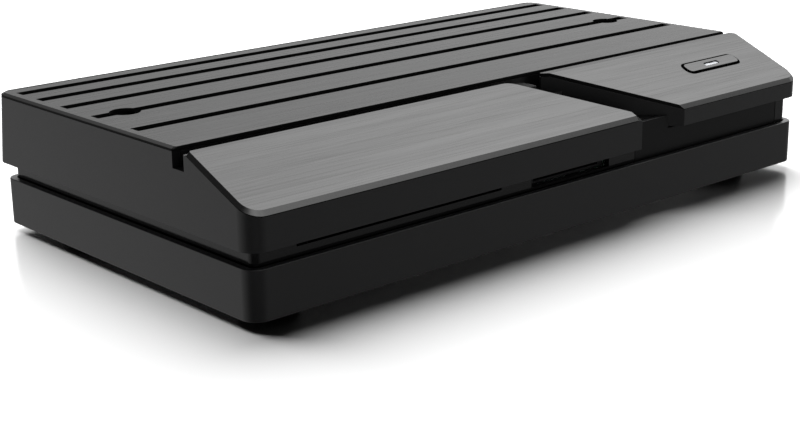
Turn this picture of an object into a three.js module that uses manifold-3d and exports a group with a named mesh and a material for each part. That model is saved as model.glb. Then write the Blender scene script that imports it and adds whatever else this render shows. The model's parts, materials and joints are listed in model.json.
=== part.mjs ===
// A satellite TV receiver, built from separate pieces the way it comes apart on a bench.
// Millimetres, +Z up, front towards -Y, standing on its four feet at Z = 0.

import * as THREE from 'three';
import { mergeVertices } from 'three/addons/utils/BufferGeometryUtils.js';
import Module from 'manifold-3d';

const wasm = await Module();
wasm.setup();

// Driving sizes of the whole box
const bodyWidth = 200;
const bodyDepth = 109;
const topHeight = 37.3;
const footHeight = 2.3;
const trayHeight = 12.2;
const shadowGap = 3.9;
const cornerRadius = 4.6;
const rearCornerRadius = 4;
const rearLean = 2.6;
const smallRadius = 0.4;

// Clearances, the overrun that every cut uses, the overlap that joins flush faces, and the
// distance within which two points are one
const fitGap = 0.3;
const bondGap = 0.1;
const overrun = 5;
const hairline = 0.02;
const weldDistance = 1e-4;

// Sides of round pieces
const roundSides = 20;
const fineSides = 24;
const smallSides = 16;

// Walls
const trayInset = 0.4;
const trayWall = 1.8;
const trayFloor = 1.6;
const shellWall = 2.2;
const shellRoof = 2;
const frameWall = 1.6;

// Brushed plates: a thin skin with a shallow band round its edge
const skinThickness = 0.9;
const bandInset = 0.9;
const deckBandDrop = 0.45;
const frontBandDrop = 0.8;

// Sloped front
const slopeAngle = 23.7 * Math.PI / 180;
const creaseY = 22.9;
const panelBack = 22.7;
const wingBack = 25;
const deckFront = 27.7;
const wingHeight = 15.5;
const panelCornerRadius = 7;
const panelTipCut = 1.9;
const plateTipSetBack = 1.5;

// Where the slanted channel's sides meet the front and the back of the slope, from the middle
const panelBackShare = 0.0075;
const panelFrontShare = 0.1535;
const wingBackShare = 0.0725;
const wingFrontShare = 0.232;

// Deck slots: each plank is narrower than the one in front of it
const slotCount = 5;
const slotWidth = 3.6;
const slotEndMargin = 2.9;
const plankNarrowingShare = 1 / 1.295;
const rearEdge = 0.6;
const accessHoleDiameter = 7.8;
const accessHoleInset = 11.5;
const slotCountBeforeHoles = 1;

// Channel between the deck and the front plates
const channelDepth = 4.9;
const channelFloor = 2;
const ledgeDrop = 1.9;
const ledgeDepth = 4.1;
const ledgeEnd = 10;
const ledgeSideInset = 1.5;
const notchExtra = 0.4;
const notchLip = 0.9;
const crossingDepth = 12.3;
const crossingFloor = 1.6;

// Levels worked out from the sizes above
const trayBottom = footHeight;
const trayTop = trayBottom + trayHeight;
const trayFloorTop = trayBottom + trayFloor;
const shellBottom = trayTop + shadowGap;
const shellTop = topHeight - skinThickness - bondGap;
const channelFloorTop = topHeight - channelDepth;
const crossingFloorTop = topHeight - crossingDepth;
const wingBottom = topHeight - wingHeight;
const halfWidth = bodyWidth / 2;
const panelBackRight = bodyWidth * panelBackShare;
const panelFrontRight = bodyWidth * panelFrontShare;
const panelTip = panelFrontRight - panelTipCut;
const wingBackLeft = bodyWidth * wingBackShare;
const wingFrontLeft = bodyWidth * wingFrontShare;
const frameInset = trayInset + trayWall + fitGap;
const slopeRise = Math.tan(slopeAngle);

// Main board and what stands on it
const boardThickness = 1.6;
const boardLift = 3;
const boardBottom = trayFloorTop + boardLift;
const boardTop = boardBottom + boardThickness;
const boardSideInset = 18;
const boardFront = 8;
const rearPanelThickness = 1;
const rearPanelBack = bodyDepth - frameInset - frameWall - fitGap;
const rearPanelFront = rearPanelBack - rearPanelThickness;
const boardBack = rearPanelFront - fitGap;
const socketStandOut = 1;
const socketMouth = rearPanelBack + socketStandOut;
const barrelReach = 10;
const barrelEnd = rearPanelBack + barrelReach;

const colours = {
  moulded: [0x2b2b2c, 0.55, 0.0],
  brushed: [0x77777a, 0.38, 0.85],
  smoked: [0x141415, 0.25, 0.0],
  rubber: [0x161616, 0.85, 0.0],
  light: [0xf4f6f8, 0.3, 0.0],
  board: [0x14402a, 0.6, 0.0],
  chip: [0x1c1c1e, 0.6, 0.0],
  steel: [0xb4b6b8, 0.35, 0.9],
  nickel: [0xc9c4b8, 0.25, 1.0],
  pad: [0x8a8f98, 0.9, 0.0],
  cable: [0xd8d8d2, 0.6, 0.0],
};
const materials = {};
for (const [name, [color, roughness, metalness]] of Object.entries(colours)) {
  materials[name] = new THREE.MeshStandardMaterial({ name, color, roughness, metalness });
}

// Solids

function toSolid(geometry) {
  const bare = geometry.clone();
  bare.deleteAttribute('normal');
  bare.deleteAttribute('uv');
  const merged = mergeVertices(bare, weldDistance);
  return new wasm.Manifold(new wasm.Mesh({
    numProp: 3,
    vertProperties: new Float32Array(merged.attributes.position.array),
    triVerts: new Uint32Array(merged.index.array),
  }));
}

function toGeometry(solid) {
  const mesh = solid.getMesh();
  const geometry = new THREE.BufferGeometry();
  geometry.setAttribute('position', new THREE.BufferAttribute(new Float32Array(mesh.vertProperties), 3));
  geometry.setIndex(new THREE.BufferAttribute(new Uint32Array(mesh.triVerts), 1));
  return geometry;
}

const cut = (solid, ...others) => others.reduce((left, other) => left.subtract(other), solid);
const join = (solid, ...others) => others.reduce((left, other) => left.add(other), solid);
const keep = (solid, ...others) => others.reduce((left, other) => left.intersect(other), solid);

// A length shared out in proportion to a list of shares
function spread(shares, length) {
  const sum = shares.reduce((left, share) => left + share, 0);
  return shares.map((share) => length * share / sum);
}

// A copy of a solid, turned about X and then about Y, and then moved
function moved(solid, { turnX = 0, turnY = 0, place = [0, 0, 0] }) {
  const geometry = toGeometry(solid);
  geometry.rotateX(turnX);
  geometry.rotateY(turnY);
  geometry.translate(...place);
  return toSolid(geometry);
}

// A box from its low and high corners
function box(x0, x1, y0, y1, z0, z1) {
  const geometry = new THREE.BoxGeometry(x1 - x0, y1 - y0, z1 - z0);
  geometry.translate((x0 + x1) / 2, (y0 + y1) / 2, (z0 + z1) / 2);
  return toSolid(geometry);
}

// An upright cylinder
function post(x, y, z0, z1, radius, sides = roundSides) {
  const geometry = new THREE.CylinderGeometry(radius, radius, z1 - z0, sides);
  geometry.rotateX(Math.PI / 2);
  geometry.translate(x, y, (z0 + z1) / 2);
  return toSolid(geometry);
}

// An upright square bar, half its side given
function squarePost(x, y, z0, z1, half) {
  return box(x - half, x + half, y - half, y + half, z0, z1);
}

// A turned piece about Z from a profile of [radius, z] points
function turned(profile, sides = fineSides) {
  const geometry = new THREE.LatheGeometry(profile.map(([r, z]) => new THREE.Vector2(r, z)), sides);
  geometry.rotateX(Math.PI / 2);
  return toSolid(geometry);
}

// An outline in plan, given upright faces
function prism(outline, z0, z1) {
  const shape = new THREE.Shape(outline.map(([x, y]) => new THREE.Vector2(x, y)));
  const geometry = new THREE.ExtrudeGeometry(shape, { depth: z1 - z0, bevelEnabled: false });
  geometry.translate(0, 0, z0);
  return toSolid(geometry);
}

// A profile of [y, z] points, drawn out along X
function bar(profile, x0, x1) {
  const shape = new THREE.Shape(profile.map(([y, z]) => new THREE.Vector2(y, z)));
  const geometry = new THREE.ExtrudeGeometry(shape, { depth: x1 - x0, bevelEnabled: false });
  const along = new THREE.Vector3(1, 0, 0);
  geometry.applyMatrix4(new THREE.Matrix4().makeBasis(
    new THREE.Vector3(0, 1, 0), new THREE.Vector3(0, 0, 1), along));
  geometry.translate(x0, 0, 0);
  return toSolid(geometry);
}

// Corners are [x, y, radius, steps], anticlockwise. A corner keeps its number of steps when it is
// inset, so an outline and its inset copy can be joined point to point.
function rounded(corners) {
  const points = [];
  corners.forEach(([x, y, radius, steps = 6], i) => {
    const corner = new THREE.Vector2(x, y);
    const last = corners[(i + corners.length - 1) % corners.length];
    const next = corners[(i + 1) % corners.length];
    const back = new THREE.Vector2(last[0] - x, last[1] - y).normalize();
    const ahead = new THREE.Vector2(next[0] - x, next[1] - y).normalize();
    const half = Math.acos(THREE.MathUtils.clamp(back.dot(ahead), -1, 1)) / 2;
    const centre = back.clone().add(ahead).normalize().multiplyScalar(radius / Math.sin(half)).add(corner);
    const start = corner.clone().addScaledVector(back, radius / Math.tan(half)).sub(centre);
    const sweep = Math.PI - 2 * half;
    for (let k = 0; k <= steps; k += 1) {
      const spoke = start.clone().rotateAround(new THREE.Vector2(), sweep * k / steps);
      points.push([centre.x + spoke.x, centre.y + spoke.y]);
    }
  });
  return points;
}

// Moves each edge of the corners inwards by its own inset; edge i runs from corner i to the next
function inset(corners, insets) {
  const count = corners.length;
  const edges = corners.map(([x, y], i) => {
    const next = corners[(i + 1) % count];
    const along = new THREE.Vector2(next[0] - x, next[1] - y).normalize();
    const amount = Array.isArray(insets) ? insets[i] : insets;
    return { x: x - along.y * amount, y: y + along.x * amount, along, amount };
  });
  return corners.map((corner, i) => {
    const a = edges[(i + count - 1) % count];
    const b = edges[i];
    const cross = a.along.x * b.along.y - a.along.y * b.along.x;
    const t = ((b.x - a.x) * b.along.y - (b.y - a.y) * b.along.x) / cross;
    const radius = Math.max(corner[2] - Math.min(a.amount, b.amount), smallRadius / 2);
    return [a.x + a.along.x * t, a.y + a.along.y * t, radius, corner[3]];
  });
}

// A closed solid through rings of points, each ring above the last
function ringSolid(rings) {
  const count = rings[0].length;
  const positions = rings.flat(2);
  const index = [];
  for (let ring = 0; ring + 1 < rings.length; ring += 1) {
    for (let i = 0; i < count; i += 1) {
      const j = (i + 1) % count;
      const low = ring * count;
      const high = low + count;
      index.push(low + i, low + j, high + j, low + i, high + j, high + i);
    }
  }
  const plan = rings[0].map(([x, y]) => new THREE.Vector2(x, y));
  const topPlan = rings[rings.length - 1].map(([x, y]) => new THREE.Vector2(x, y));
  const top = (rings.length - 1) * count;
  THREE.ShapeUtils.triangulateShape(plan, []).forEach(([a, b, c]) => index.push(a, c, b));
  THREE.ShapeUtils.triangulateShape(topPlan, []).forEach(
    ([a, b, c]) => index.push(top + a, top + b, top + c));
  const geometry = new THREE.BufferGeometry();
  geometry.setAttribute('position', new THREE.Float32BufferAttribute(positions, 3));
  geometry.setIndex(index);
  return toSolid(geometry);
}

// Heights of the top surface

const flatTop = () => topHeight;
const slopeTop = (y) => topHeight - (creaseY - y) * slopeRise;

// Everything under the top surface, once that is lowered by a drop
function underTop(drop) {
  const front = -overrun;
  const back = bodyDepth + overrun;
  const profile = [
    [front, -overrun], [back, -overrun], [back, topHeight - drop],
    [creaseY, topHeight - drop], [front, slopeTop(front) - drop],
  ];
  return bar(profile, -halfWidth - overrun, halfWidth + overrun);
}

// A solid under one top surface, with the shallow band round the edges that have an inset
function banded(corners, insets, drop, heightAt) {
  const outline = rounded(corners);
  const inner = rounded(inset(corners, insets));
  return ringSolid([
    outline.map(([x, y]) => [x, y, 0]),
    outline.map(([x, y]) => [x, y, heightAt(y) - drop]),
    inner.map(([x, y]) => [x, y, heightAt(y)]),
  ]);
}

// Outlines in plan, in body coordinates: X from the middle, Y from the front face

const smallSteps = 1;
const panelCorners = [
  [-halfWidth, 0, cornerRadius],
  [panelFrontRight, 0, smallRadius, smallSteps],
  [panelBackRight, panelBack, panelCornerRadius],
  [-halfWidth, panelBack, smallRadius, smallSteps],
];
const wingCorners = [
  [wingFrontLeft, 0, smallRadius, smallSteps],
  [halfWidth, 0, cornerRadius],
  [halfWidth, wingBack, smallRadius, smallSteps],
  [wingBackLeft, wingBack, smallRadius, smallSteps],
];
const deckCornersTo = (back) => [
  [-halfWidth, deckFront, smallRadius, smallSteps],
  [halfWidth, deckFront, smallRadius, smallSteps],
  [halfWidth, back, rearCornerRadius],
  [-halfWidth, back, rearCornerRadius],
];
const deckCorners = deckCornersTo(bodyDepth);
const bodyCorners = [
  [-halfWidth, 0, cornerRadius],
  [halfWidth, 0, cornerRadius],
  [halfWidth, bodyDepth, rearCornerRadius],
  [-halfWidth, bodyDepth, rearCornerRadius],
];

// The tip of the panel is cut off square
function tipRoom(from) {
  return box(from, panelFrontRight + overrun, -overrun, panelBack, shellBottom - overrun,
    topHeight + overrun);
}

// The rear part of the shell between two heights: its back wall leans out towards the bottom
function rearBlock(wall, z0, z1) {
  const rings = [z0, z1].map((z) => {
    const back = bodyDepth + rearLean * (shellTop - z) / (shellTop - shellBottom);
    return rounded(inset(deckCornersTo(back), wall)).map(([x, y]) => [x, y, z]);
  });
  return ringSolid(rings);
}

// Slots from front to back: plank, slot, plank, slot, and the last plank with the rear edge
function deckSlots() {
  let shares = 0;
  for (let i = 0; i <= slotCount; i += 1) {
    shares += plankNarrowingShare ** i;
  }
  let plank = (bodyDepth - deckFront - slotCount * slotWidth - rearEdge) / shares;
  let y = deckFront;
  const slots = [];
  for (let i = 0; i < slotCount; i += 1) {
    y += plank;
    slots.push([y, y + slotWidth]);
    y += slotWidth;
    plank *= plankNarrowingShare;
  }
  return slots;
}
const slots = deckSlots();
const accessHoleY = (slots[slotCountBeforeHoles][0] + slots[slotCountBeforeHoles][1]) / 2;
const accessHoleX = halfWidth - accessHoleInset;
const accessHoleSides = [-accessHoleX, accessHoleX];

function deckCuts(z0, z1) {
  const reach = halfWidth - slotEndMargin;
  const cuts = slots.map(([y0, y1]) => box(-reach, reach, y0, y1, z0, z1));
  for (const x of accessHoleSides) {
    cuts.push(post(x, accessHoleY, z0, z1, accessHoleDiameter / 2));
  }
  return cuts;
}

// Power button, in the slope's own frame: u along X, v up the slope, w out of it
const buttonWidth = 22.4;
const buttonHeight = 3.6;
const buttonGap = 0.83;
const buttonRadius = 1.4;
const buttonProud = 0.35;
const buttonInset = 25.5;
const buttonCentreX = halfWidth - buttonInset;
const buttonCentreY = 13.05;
const buttonTravel = 0.5;
const skinNormal = skinThickness * Math.cos(slopeAngle);
const flangeTop = -skinNormal - fitGap;
const flangeThickness = 1;
const flangeRim = 0.8;
const stemRadius = 1.5;
const stemLength = 0.4;
const stemOffset = 6;
const plungerRadius = 1.6;
const plungerProud = 0.8;
const plungerFoot = 1.2;
const switchSide = 6;
const switchHeight = 3.4;
const frontBoardThickness = 1.2;
const frontBoardWidth = 34;
const frontBoardHeight = 8;
const plungerTop = flangeTop - flangeThickness - stemLength - fitGap;
const switchTop = plungerTop - plungerProud;
const frontBoardTop = switchTop - switchHeight;
const frontBoardBottom = frontBoardTop - frontBoardThickness;
const lightBarWidth = 6.2;
const lightBarHeight = 1.2;
const lightBarRadius = 0.55;
const lightBarSink = 0.3;
const lightBarDepth = 2.9;
const lightBarGap = 0.08;
const ledWidth = 3.2;
const ledDepth = 1.6;
const ledHeight = 1.1;

// A rounded pad in the slope's frame, grown by a margin
function pad(width, height, cornerRound, margin, w0, w1) {
  const u = width / 2 + margin;
  const v = height / 2 + margin;
  const radius = cornerRound + margin;
  return prism(rounded([[-u, -v, radius], [u, -v, radius], [u, v, radius], [-u, v, radius]]), w0, w1);
}
const buttonPad = (margin, w0, w1) => pad(buttonWidth, buttonHeight, buttonRadius, margin, w0, w1);
const lightPad = (margin, w0, w1) => pad(lightBarWidth, lightBarHeight, lightBarRadius, margin, w0, w1);

// Puts a solid made in the slope's frame where the button is on the body
function ontoSlope(solid) {
  return moved(solid, { turnX: slopeAngle, place: [buttonCentreX, buttonCentreY, slopeTop(buttonCentreY)] });
}

// Outer pieces

const ventRows = 2;
const ventsPerRow = 9;
const ventWidth = 2.4;
const ventLength = 22;
const ventPitch = 7;
const ventRowPitch = 30;
const ventForward = 2.5;
const footRadius = 7;
const footTaper = 0.8;
const footRecess = 0.6;
const footInset = 16;
const bossRadius = 3.4;
const screwRadius = 1.5;
const screwHeadRadius = 2.8;
const screwHeadHeight = 1.9;
const rearCutInset = 16;
const rearLip = 1;
const rearWindowDrop = 1.45;
const accessHoleDepth = 10.8;
const accessPostWall = 1.4;
const accessPostBelow = 6.5;
const coverScrewSeat = topHeight - accessHoleDepth;
const coverBossTop = coverScrewSeat - accessPostBelow;
const coverScrewLength = 16;
const boardScrewInset = 5;
const boardHoleRadius = 1.7;
const tunerDepth = 44;

const boardHalfWidth = halfWidth - boardSideInset;
const boardScrewPlaces = [];
for (const x of [-boardHalfWidth + boardScrewInset, boardHalfWidth - boardScrewInset]) {
  for (const y of [boardFront + boardScrewInset, boardBack - tunerDepth - boardScrewInset]) {
    boardScrewPlaces.push([x, y]);
  }
}

const footPlaces = {
  foot_front_left: [-halfWidth + footInset, footInset],
  foot_front_right: [halfWidth - footInset, footInset],
  foot_rear_left: [-halfWidth + footInset, bodyDepth - footInset],
  foot_rear_right: [halfWidth - footInset, bodyDepth - footInset],
};

function baseTray() {
  const outer = inset(bodyCorners, trayInset);
  const inner = inset(bodyCorners, trayInset + trayWall);
  let tray = cut(
    prism(rounded(outer), trayBottom, trayTop),
    prism(rounded(inner), trayFloorTop, trayTop + overrun));
  const rearCut = halfWidth - rearCutInset;
  tray = cut(tray, box(-rearCut, rearCut, bodyDepth - trayInset - trayWall - hairline, bodyDepth + overrun,
    trayFloorTop + rearLip, trayTop + overrun));
  for (const [x, y] of boardScrewPlaces) {
    tray = join(tray, post(x, y, trayFloorTop - trayFloor / 2, boardBottom, bossRadius));
    tray = cut(tray, post(x, y, trayFloorTop, boardBottom + overrun, screwRadius + bondGap));
  }
  for (const x of accessHoleSides) {
    tray = join(tray, post(x, accessHoleY, trayFloorTop - trayFloor / 2, coverBossTop - fitGap, bossRadius));
    tray = cut(tray, post(x, accessHoleY, trayFloorTop, coverBossTop + overrun, screwRadius + bondGap));
  }
  for (const [x, y] of Object.values(footPlaces)) {
    tray = cut(tray, post(x, y, trayBottom - overrun, trayBottom + footRecess, footRadius + fitGap));
  }
  for (let row = 0; row < ventRows; row += 1) {
    const y = bodyDepth / 2 - ventForward + (row - (ventRows - 1) / 2) * ventRowPitch;
    for (let i = 0; i < ventsPerRow; i += 1) {
      const x = (i - (ventsPerRow - 1) / 2) * ventPitch;
      tray = cut(tray, box(x - ventWidth / 2, x + ventWidth / 2, y - ventLength / 2, y + ventLength / 2,
        trayBottom - overrun, trayFloorTop + overrun));
    }
  }
  return tray;
}

function foot() {
  const top = footHeight + footRecess - fitGap;
  return turned([[0, 0], [footRadius - footTaper, 0], [footRadius, footTaper], [footRadius, top], [0, top]]);
}

// The channel's floor, the ledge on it and the floor where the slanted channel crosses
function channelWork() {
  const back = deckFront + shellWall;
  const front = panelBack - shellWall;
  let work = box(-halfWidth, halfWidth, front, back, channelFloorTop - channelFloor, channelFloorTop);
  const ledgeBack = panelBack + ledgeDepth;
  const ledgeTop = topHeight - ledgeDrop;
  const ledge = rounded([
    [-halfWidth + ledgeSideInset, front, smallRadius, smallSteps],
    [ledgeEnd, front, smallRadius, smallSteps],
    [ledgeEnd, ledgeBack, ledgeDepth / 2],
    [-halfWidth + ledgeSideInset, ledgeBack, smallRadius, smallSteps],
  ]);
  work = join(work, keep(prism(ledge, channelFloorTop - channelFloor, ledgeTop),
    underTop(skinThickness + bondGap)));
  const crossingBottom = crossingFloorTop - crossingFloor;
  const floorFront = frameInset + frameWall + fitGap;
  const wallAtFront = panelFrontRight + (panelBackRight - panelFrontRight) * floorFront / panelBack;
  const floor = [
    [wallAtFront - shellWall, floorFront],
    [wingFrontLeft + shellWall, floorFront],
    [wingBackLeft + shellWall, wingBack - fitGap],
    [panelBackRight - shellWall, panelBack],
    [panelBackRight - shellWall, panelBack - shellWall],
  ];
  work = join(work, prism(floor, crossingBottom, crossingFloorTop));
  const riser = box(panelBackRight - shellWall, wingBackLeft + shellWall, panelBack, panelBack + channelFloor,
    crossingBottom, channelFloorTop);
  return join(work, riser);
}

function upperShell() {
  const skinStep = skinThickness + bondGap;
  const rear = rearBlock(0, shellBottom, shellTop);
  const rearHollow = join(
    rearBlock(shellWall, shellBottom - overrun, shellTop - shellRoof),
    box(-halfWidth + shellWall, halfWidth - shellWall, deckFront - overrun, deckFront + shellWall + hairline,
      shellBottom - overrun, channelFloorTop - channelFloor));
  const left = keep(prism(rounded(panelCorners), shellBottom, topHeight), underTop(skinStep));
  const leftHollow = keep(
    prism(rounded(inset(panelCorners, shellWall)), shellBottom - overrun, topHeight),
    underTop(skinStep + shellRoof));
  const crossingBottom = crossingFloorTop - crossingFloor;
  const underDiagonal = box(-halfWidth + shellWall, panelFrontRight + overrun, shellWall,
    panelBack + overrun, shellBottom - overrun, crossingBottom);
  const underRearWall = box(-halfWidth + shellWall, panelBackRight - panelCornerRadius,
    panelBack - shellWall - hairline, panelBack + hairline, shellBottom - overrun,
    channelFloorTop - channelFloor);
  const leftBox = cut(left, leftHollow, underDiagonal, underRearWall, tipRoom(panelTip));
  const wallBack = deckFront + shellWall;
  const leftJoin = box(-halfWidth, -halfWidth + shellWall, panelBack - shellWall, wallBack,
    shellBottom, channelFloorTop);
  const lip = keep(underTop(skinStep), box(-halfWidth, -halfWidth + shellWall,
    panelBack - shellWall, panelBack + notchLip, shellBottom, topHeight));
  const rightJoin = box(halfWidth - shellWall, halfWidth, wingBack + fitGap, wallBack,
    shellBottom, channelFloorTop);
  const rearCut = halfWidth - rearCutInset;
  const rearWindow = box(-rearCut, rearCut, bodyDepth - shellWall - hairline, bodyDepth + overrun,
    shellBottom - overrun, shellTop - shellRoof - rearWindowDrop);
  let shell = join(cut(rear, rearHollow, rearWindow), leftBox, leftJoin, lip, rightJoin, channelWork());
  for (const x of accessHoleSides) {
    const half = accessHoleDiameter / 2;
    shell = join(shell,
      squarePost(x, accessHoleY, coverBossTop, shellTop - shellRoof / 2, half + accessPostWall));
    shell = cut(shell,
      squarePost(x, accessHoleY, coverScrewSeat, shellTop + overrun, half),
      post(x, accessHoleY, coverBossTop - overrun, shellTop, screwRadius + fitGap));
  }
  const notch = box(-halfWidth - overrun, -halfWidth + shellWall,
    panelBack + notchLip, deckFront + notchExtra, channelFloorTop, topHeight + overrun);
  const wingRoom = prism(rounded(inset(wingCorners, -fitGap)), shellBottom - overrun, topHeight + overrun);
  return cut(shell, ...deckCuts(shellTop - shellRoof - hairline, topHeight + overrun), notch, wingRoom);
}

function deckPlate() {
  const plate = banded(deckCorners, [hairline, bandInset, bandInset, bandInset], deckBandDrop, flatTop);
  return cut(plate, underTop(skinThickness), ...deckCuts(shellTop - shellRoof, topHeight + overrun));
}

function leftFrontPanel() {
  const plate = banded(panelCorners, [bandInset, hairline, hairline, bandInset], frontBandDrop, slopeTop);
  return cut(plate, underTop(skinThickness), tipRoom(panelTip - plateTipSetBack));
}

function wingPlate() {
  const insets = [bandInset, bandInset, hairline, hairline];
  const plate = keep(
    banded(wingCorners, insets, frontBandDrop, slopeTop),
    banded(wingCorners, insets, frontBandDrop, flatTop));
  const opening = ontoSlope(buttonPad(buttonGap, -overrun, overrun));
  return cut(plate, underTop(skinThickness), opening);
}

const wingWall = 1.8;
const wingFloor = 1.6;
const wingWindowMargin = 3;
const cableWidth = 8;
const cableThickness = 0.3;
const cableRoom = 0.8;
const cableY = wingBack - wingWall - cableRoom;
const wingPostRadius = 2;
const wingPostInset = 3;
const wingPostX = [
  buttonCentreX - frontBoardWidth / 2 + wingPostInset, buttonCentreX + frontBoardWidth / 2 - wingPostInset,
];
const cableX = wingPostX[0] + wingPostRadius + fitGap + cableWidth / 2;
const wingScrewY = 8;
const wingScrewInset = 12;
const wingScrewPlaces = [
  [wingFrontLeft + wingScrewInset, wingScrewY], [halfWidth - wingScrewInset, wingScrewY],
];
const wingScrewRadius = 1;

function wingHousing() {
  const skinStep = skinThickness + bondGap;
  const outer = keep(prism(rounded(wingCorners), wingBottom, topHeight), underTop(skinStep));
  const hollow = keep(
    prism(rounded(inset(wingCorners, wingWall)), wingBottom + wingFloor, topHeight),
    underTop(skinStep + wingWall));
  const window = ontoSlope(box(
    -frontBoardWidth / 2, frontBoardWidth / 2,
    -buttonHeight / 2 - wingWindowMargin, buttonHeight / 2 + wingWindowMargin, -overrun, overrun));
  let housing = cut(outer, hollow, window);
  const postTop = -frontBoardBottom / Math.cos(slopeAngle) + fitGap;
  const boardMiddleY = buttonCentreY - frontBoardBottom * Math.sin(slopeAngle);
  for (const x of wingPostX) {
    housing = join(housing, keep(
      post(x, boardMiddleY, wingBottom + wingFloor / 2, topHeight, wingPostRadius), underTop(postTop)));
  }
  const cableSlot = box(cableX - cableWidth / 2 - cableRoom, cableX + cableWidth / 2 + cableRoom,
    cableY - cableRoom, cableY + cableRoom, wingBottom - overrun, wingBottom + wingFloor + hairline);
  for (const [x, y] of wingScrewPlaces) {
    housing = cut(housing, post(x, y, wingBottom - overrun, wingBottom + wingFloor + hairline,
      wingScrewRadius + bondGap));
  }
  return cut(housing, cableSlot);
}

// The recessed ring between tray and shell, open at the back, with the two card slots in its front
const frameTop = crossingFloorTop - crossingFloor - fitGap;
const frameEndInset = 14;
const cardSlotWidth = 64.1;
const cardSlotLift = 2.8;
const cardSlotHeight = 1;
const memorySlotWidth = 29.4;
const memorySlotLift = 0.7;
const memorySlotHeight = 3.3;
const windowEndInset = 8;
const windowTuck = 0.9;
const windowThickness = 1.6;
const wingScrewTabDepth = 8;
const wingScrewTabWidth = 6;
const cardSlotZ = trayTop + cardSlotLift;
const memorySlotBottom = trayTop + memorySlotLift;
const windowLeft = panelTip + fitGap;
const windowRight = halfWidth - windowEndInset;
const windowBottom = trayTop - windowTuck;

// Bare lengths of the front left of, between and right of the two card slots
const slotMarginShares = [14.4, 10.7, 12.1];
const slotMargins = spread(slotMarginShares, halfWidth + panelFrontRight - cardSlotWidth - memorySlotWidth);
const cardSlotLeft = -halfWidth + slotMargins[0];
const cardSlotRight = cardSlotLeft + cardSlotWidth;
const memorySlotLeft = cardSlotRight + slotMargins[1];
const memorySlotRight = memorySlotLeft + memorySlotWidth;

function innerFrame() {
  const outer = inset(bodyCorners, frameInset);
  const inner = inset(bodyCorners, frameInset + frameWall);
  const bottom = trayFloorTop + bondGap;
  let frame = cut(
    prism(rounded(outer), bottom, frameTop),
    prism(rounded(inner), bottom - overrun, frameTop + overrun));
  for (const [x, y] of wingScrewPlaces) {
    const top = wingBottom - fitGap;
    const side = wingScrewTabWidth / 2;
    const tab = box(x - side, x + side, frameInset + frameWall / 2, y + wingScrewTabDepth / 2,
      top - frameWall, top);
    const leg = box(x - side, x + side, frameInset + frameWall / 2,
      frameInset + windowThickness + bondGap + frameWall, windowBottom - 2 * frameWall, top);
    frame = join(frame, tab, leg);
    frame = cut(frame, post(x, y, top - frameWall - overrun, top + overrun, wingScrewRadius + bondGap));
  }
  const end = halfWidth - frameEndInset;
  const rearOpening = box(-end, end, bodyDepth - frameInset - frameWall - hairline, bodyDepth,
    bottom - overrun, frameTop + overrun);
  const cardSlot = box(cardSlotLeft, cardSlotRight, -overrun, frameInset + frameWall + hairline,
    cardSlotZ - cardSlotHeight / 2, cardSlotZ + cardSlotHeight / 2);
  const memorySlot = box(memorySlotLeft, memorySlotRight, -overrun, frameInset + frameWall + hairline,
    memorySlotBottom, memorySlotBottom + memorySlotHeight);
  const windowGap = box(windowLeft - bondGap, windowRight + bondGap, -overrun,
    frameInset + windowThickness + bondGap, windowBottom - bondGap, frameTop + overrun);
  const wingGap = box(windowLeft, halfWidth + overrun, -overrun, wingBack + fitGap,
    wingBottom - fitGap, frameTop + overrun);
  return cut(frame, rearOpening, cardSlot, memorySlot, windowGap, wingGap);
}

// Smoked window under the wing; its left end rises to carry the front edge of the crossing floor
function infraredWindow() {
  const low = box(windowLeft, windowRight, frameInset, frameInset + windowThickness,
    windowBottom, wingBottom - fitGap);
  const tall = box(windowLeft, wingFrontLeft + shellWall, frameInset, frameInset + windowThickness,
    windowBottom, crossingFloorTop);
  const wingRoom = prism(rounded(inset(wingCorners, -fitGap)), wingBottom - fitGap, topHeight);
  const panelRoom = prism(rounded(inset(panelCorners, -fitGap)), shellBottom - overrun, topHeight);
  return cut(join(low, tall), wingRoom, panelRoom);
}

// Sockets along the back
const tunerWidth = 20;
const tunerHeight = 15;
const barrelRadius = 4.75;
const barrelHeight = 8;
const barrelBore = 1.2;
const barrelBoreDepth = 6;
const barrelCollarRadius = 5.6;
const barrelCollar = 2;
const threadPitch = 1.3;
const threadDepth = 0.35;
const threadRings = 5;
const videoWidth = 15;
const videoHeight = 6;
const videoDepth = 11;
const videoWall = 0.6;
const videoTongue = 1;
const networkWidth = 16;
const networkHeight = 13.5;
const networkDepth = 18;
const networkMouthWidth = 11.8;
const networkMouthHeight = 8.4;
const networkMouthLift = 2.2;
const networkMouthDepth = 12;
const dataWidth = 14.5;
const dataHeight = 15.6;
const dataDepth = 17;
const dataWall = 0.7;
const dataTongue = 1.8;
const dataMouthDepth = 9;
const dataMouthHeight = 5.4;
const opticalWidth = 10.6;
const opticalHeight = 11;
const opticalDepth = 14;
const opticalMouth = 7.4;
const opticalMouthDepth = 10;
const shutterThickness = 0.8;
const shutterSetBack = 1;
const shutterPivotDrop = 0.9;
const inletWidth = 9.4;
const inletHeight = 11;
const inletDepth = 14;
const inletBoreRadius = 3.1;
const inletBoreDepth = 9;
const inletPinRadius = 1;
const inletLift = 6.2;
const rowWidths = [
  tunerWidth, tunerWidth, videoWidth, videoWidth, networkWidth, dataWidth, opticalWidth, inletWidth,
];
const rowGapShares = [4, 4, 4.5, 4, 4.5, 6.75, 5.45, 6, 8.3];

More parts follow.
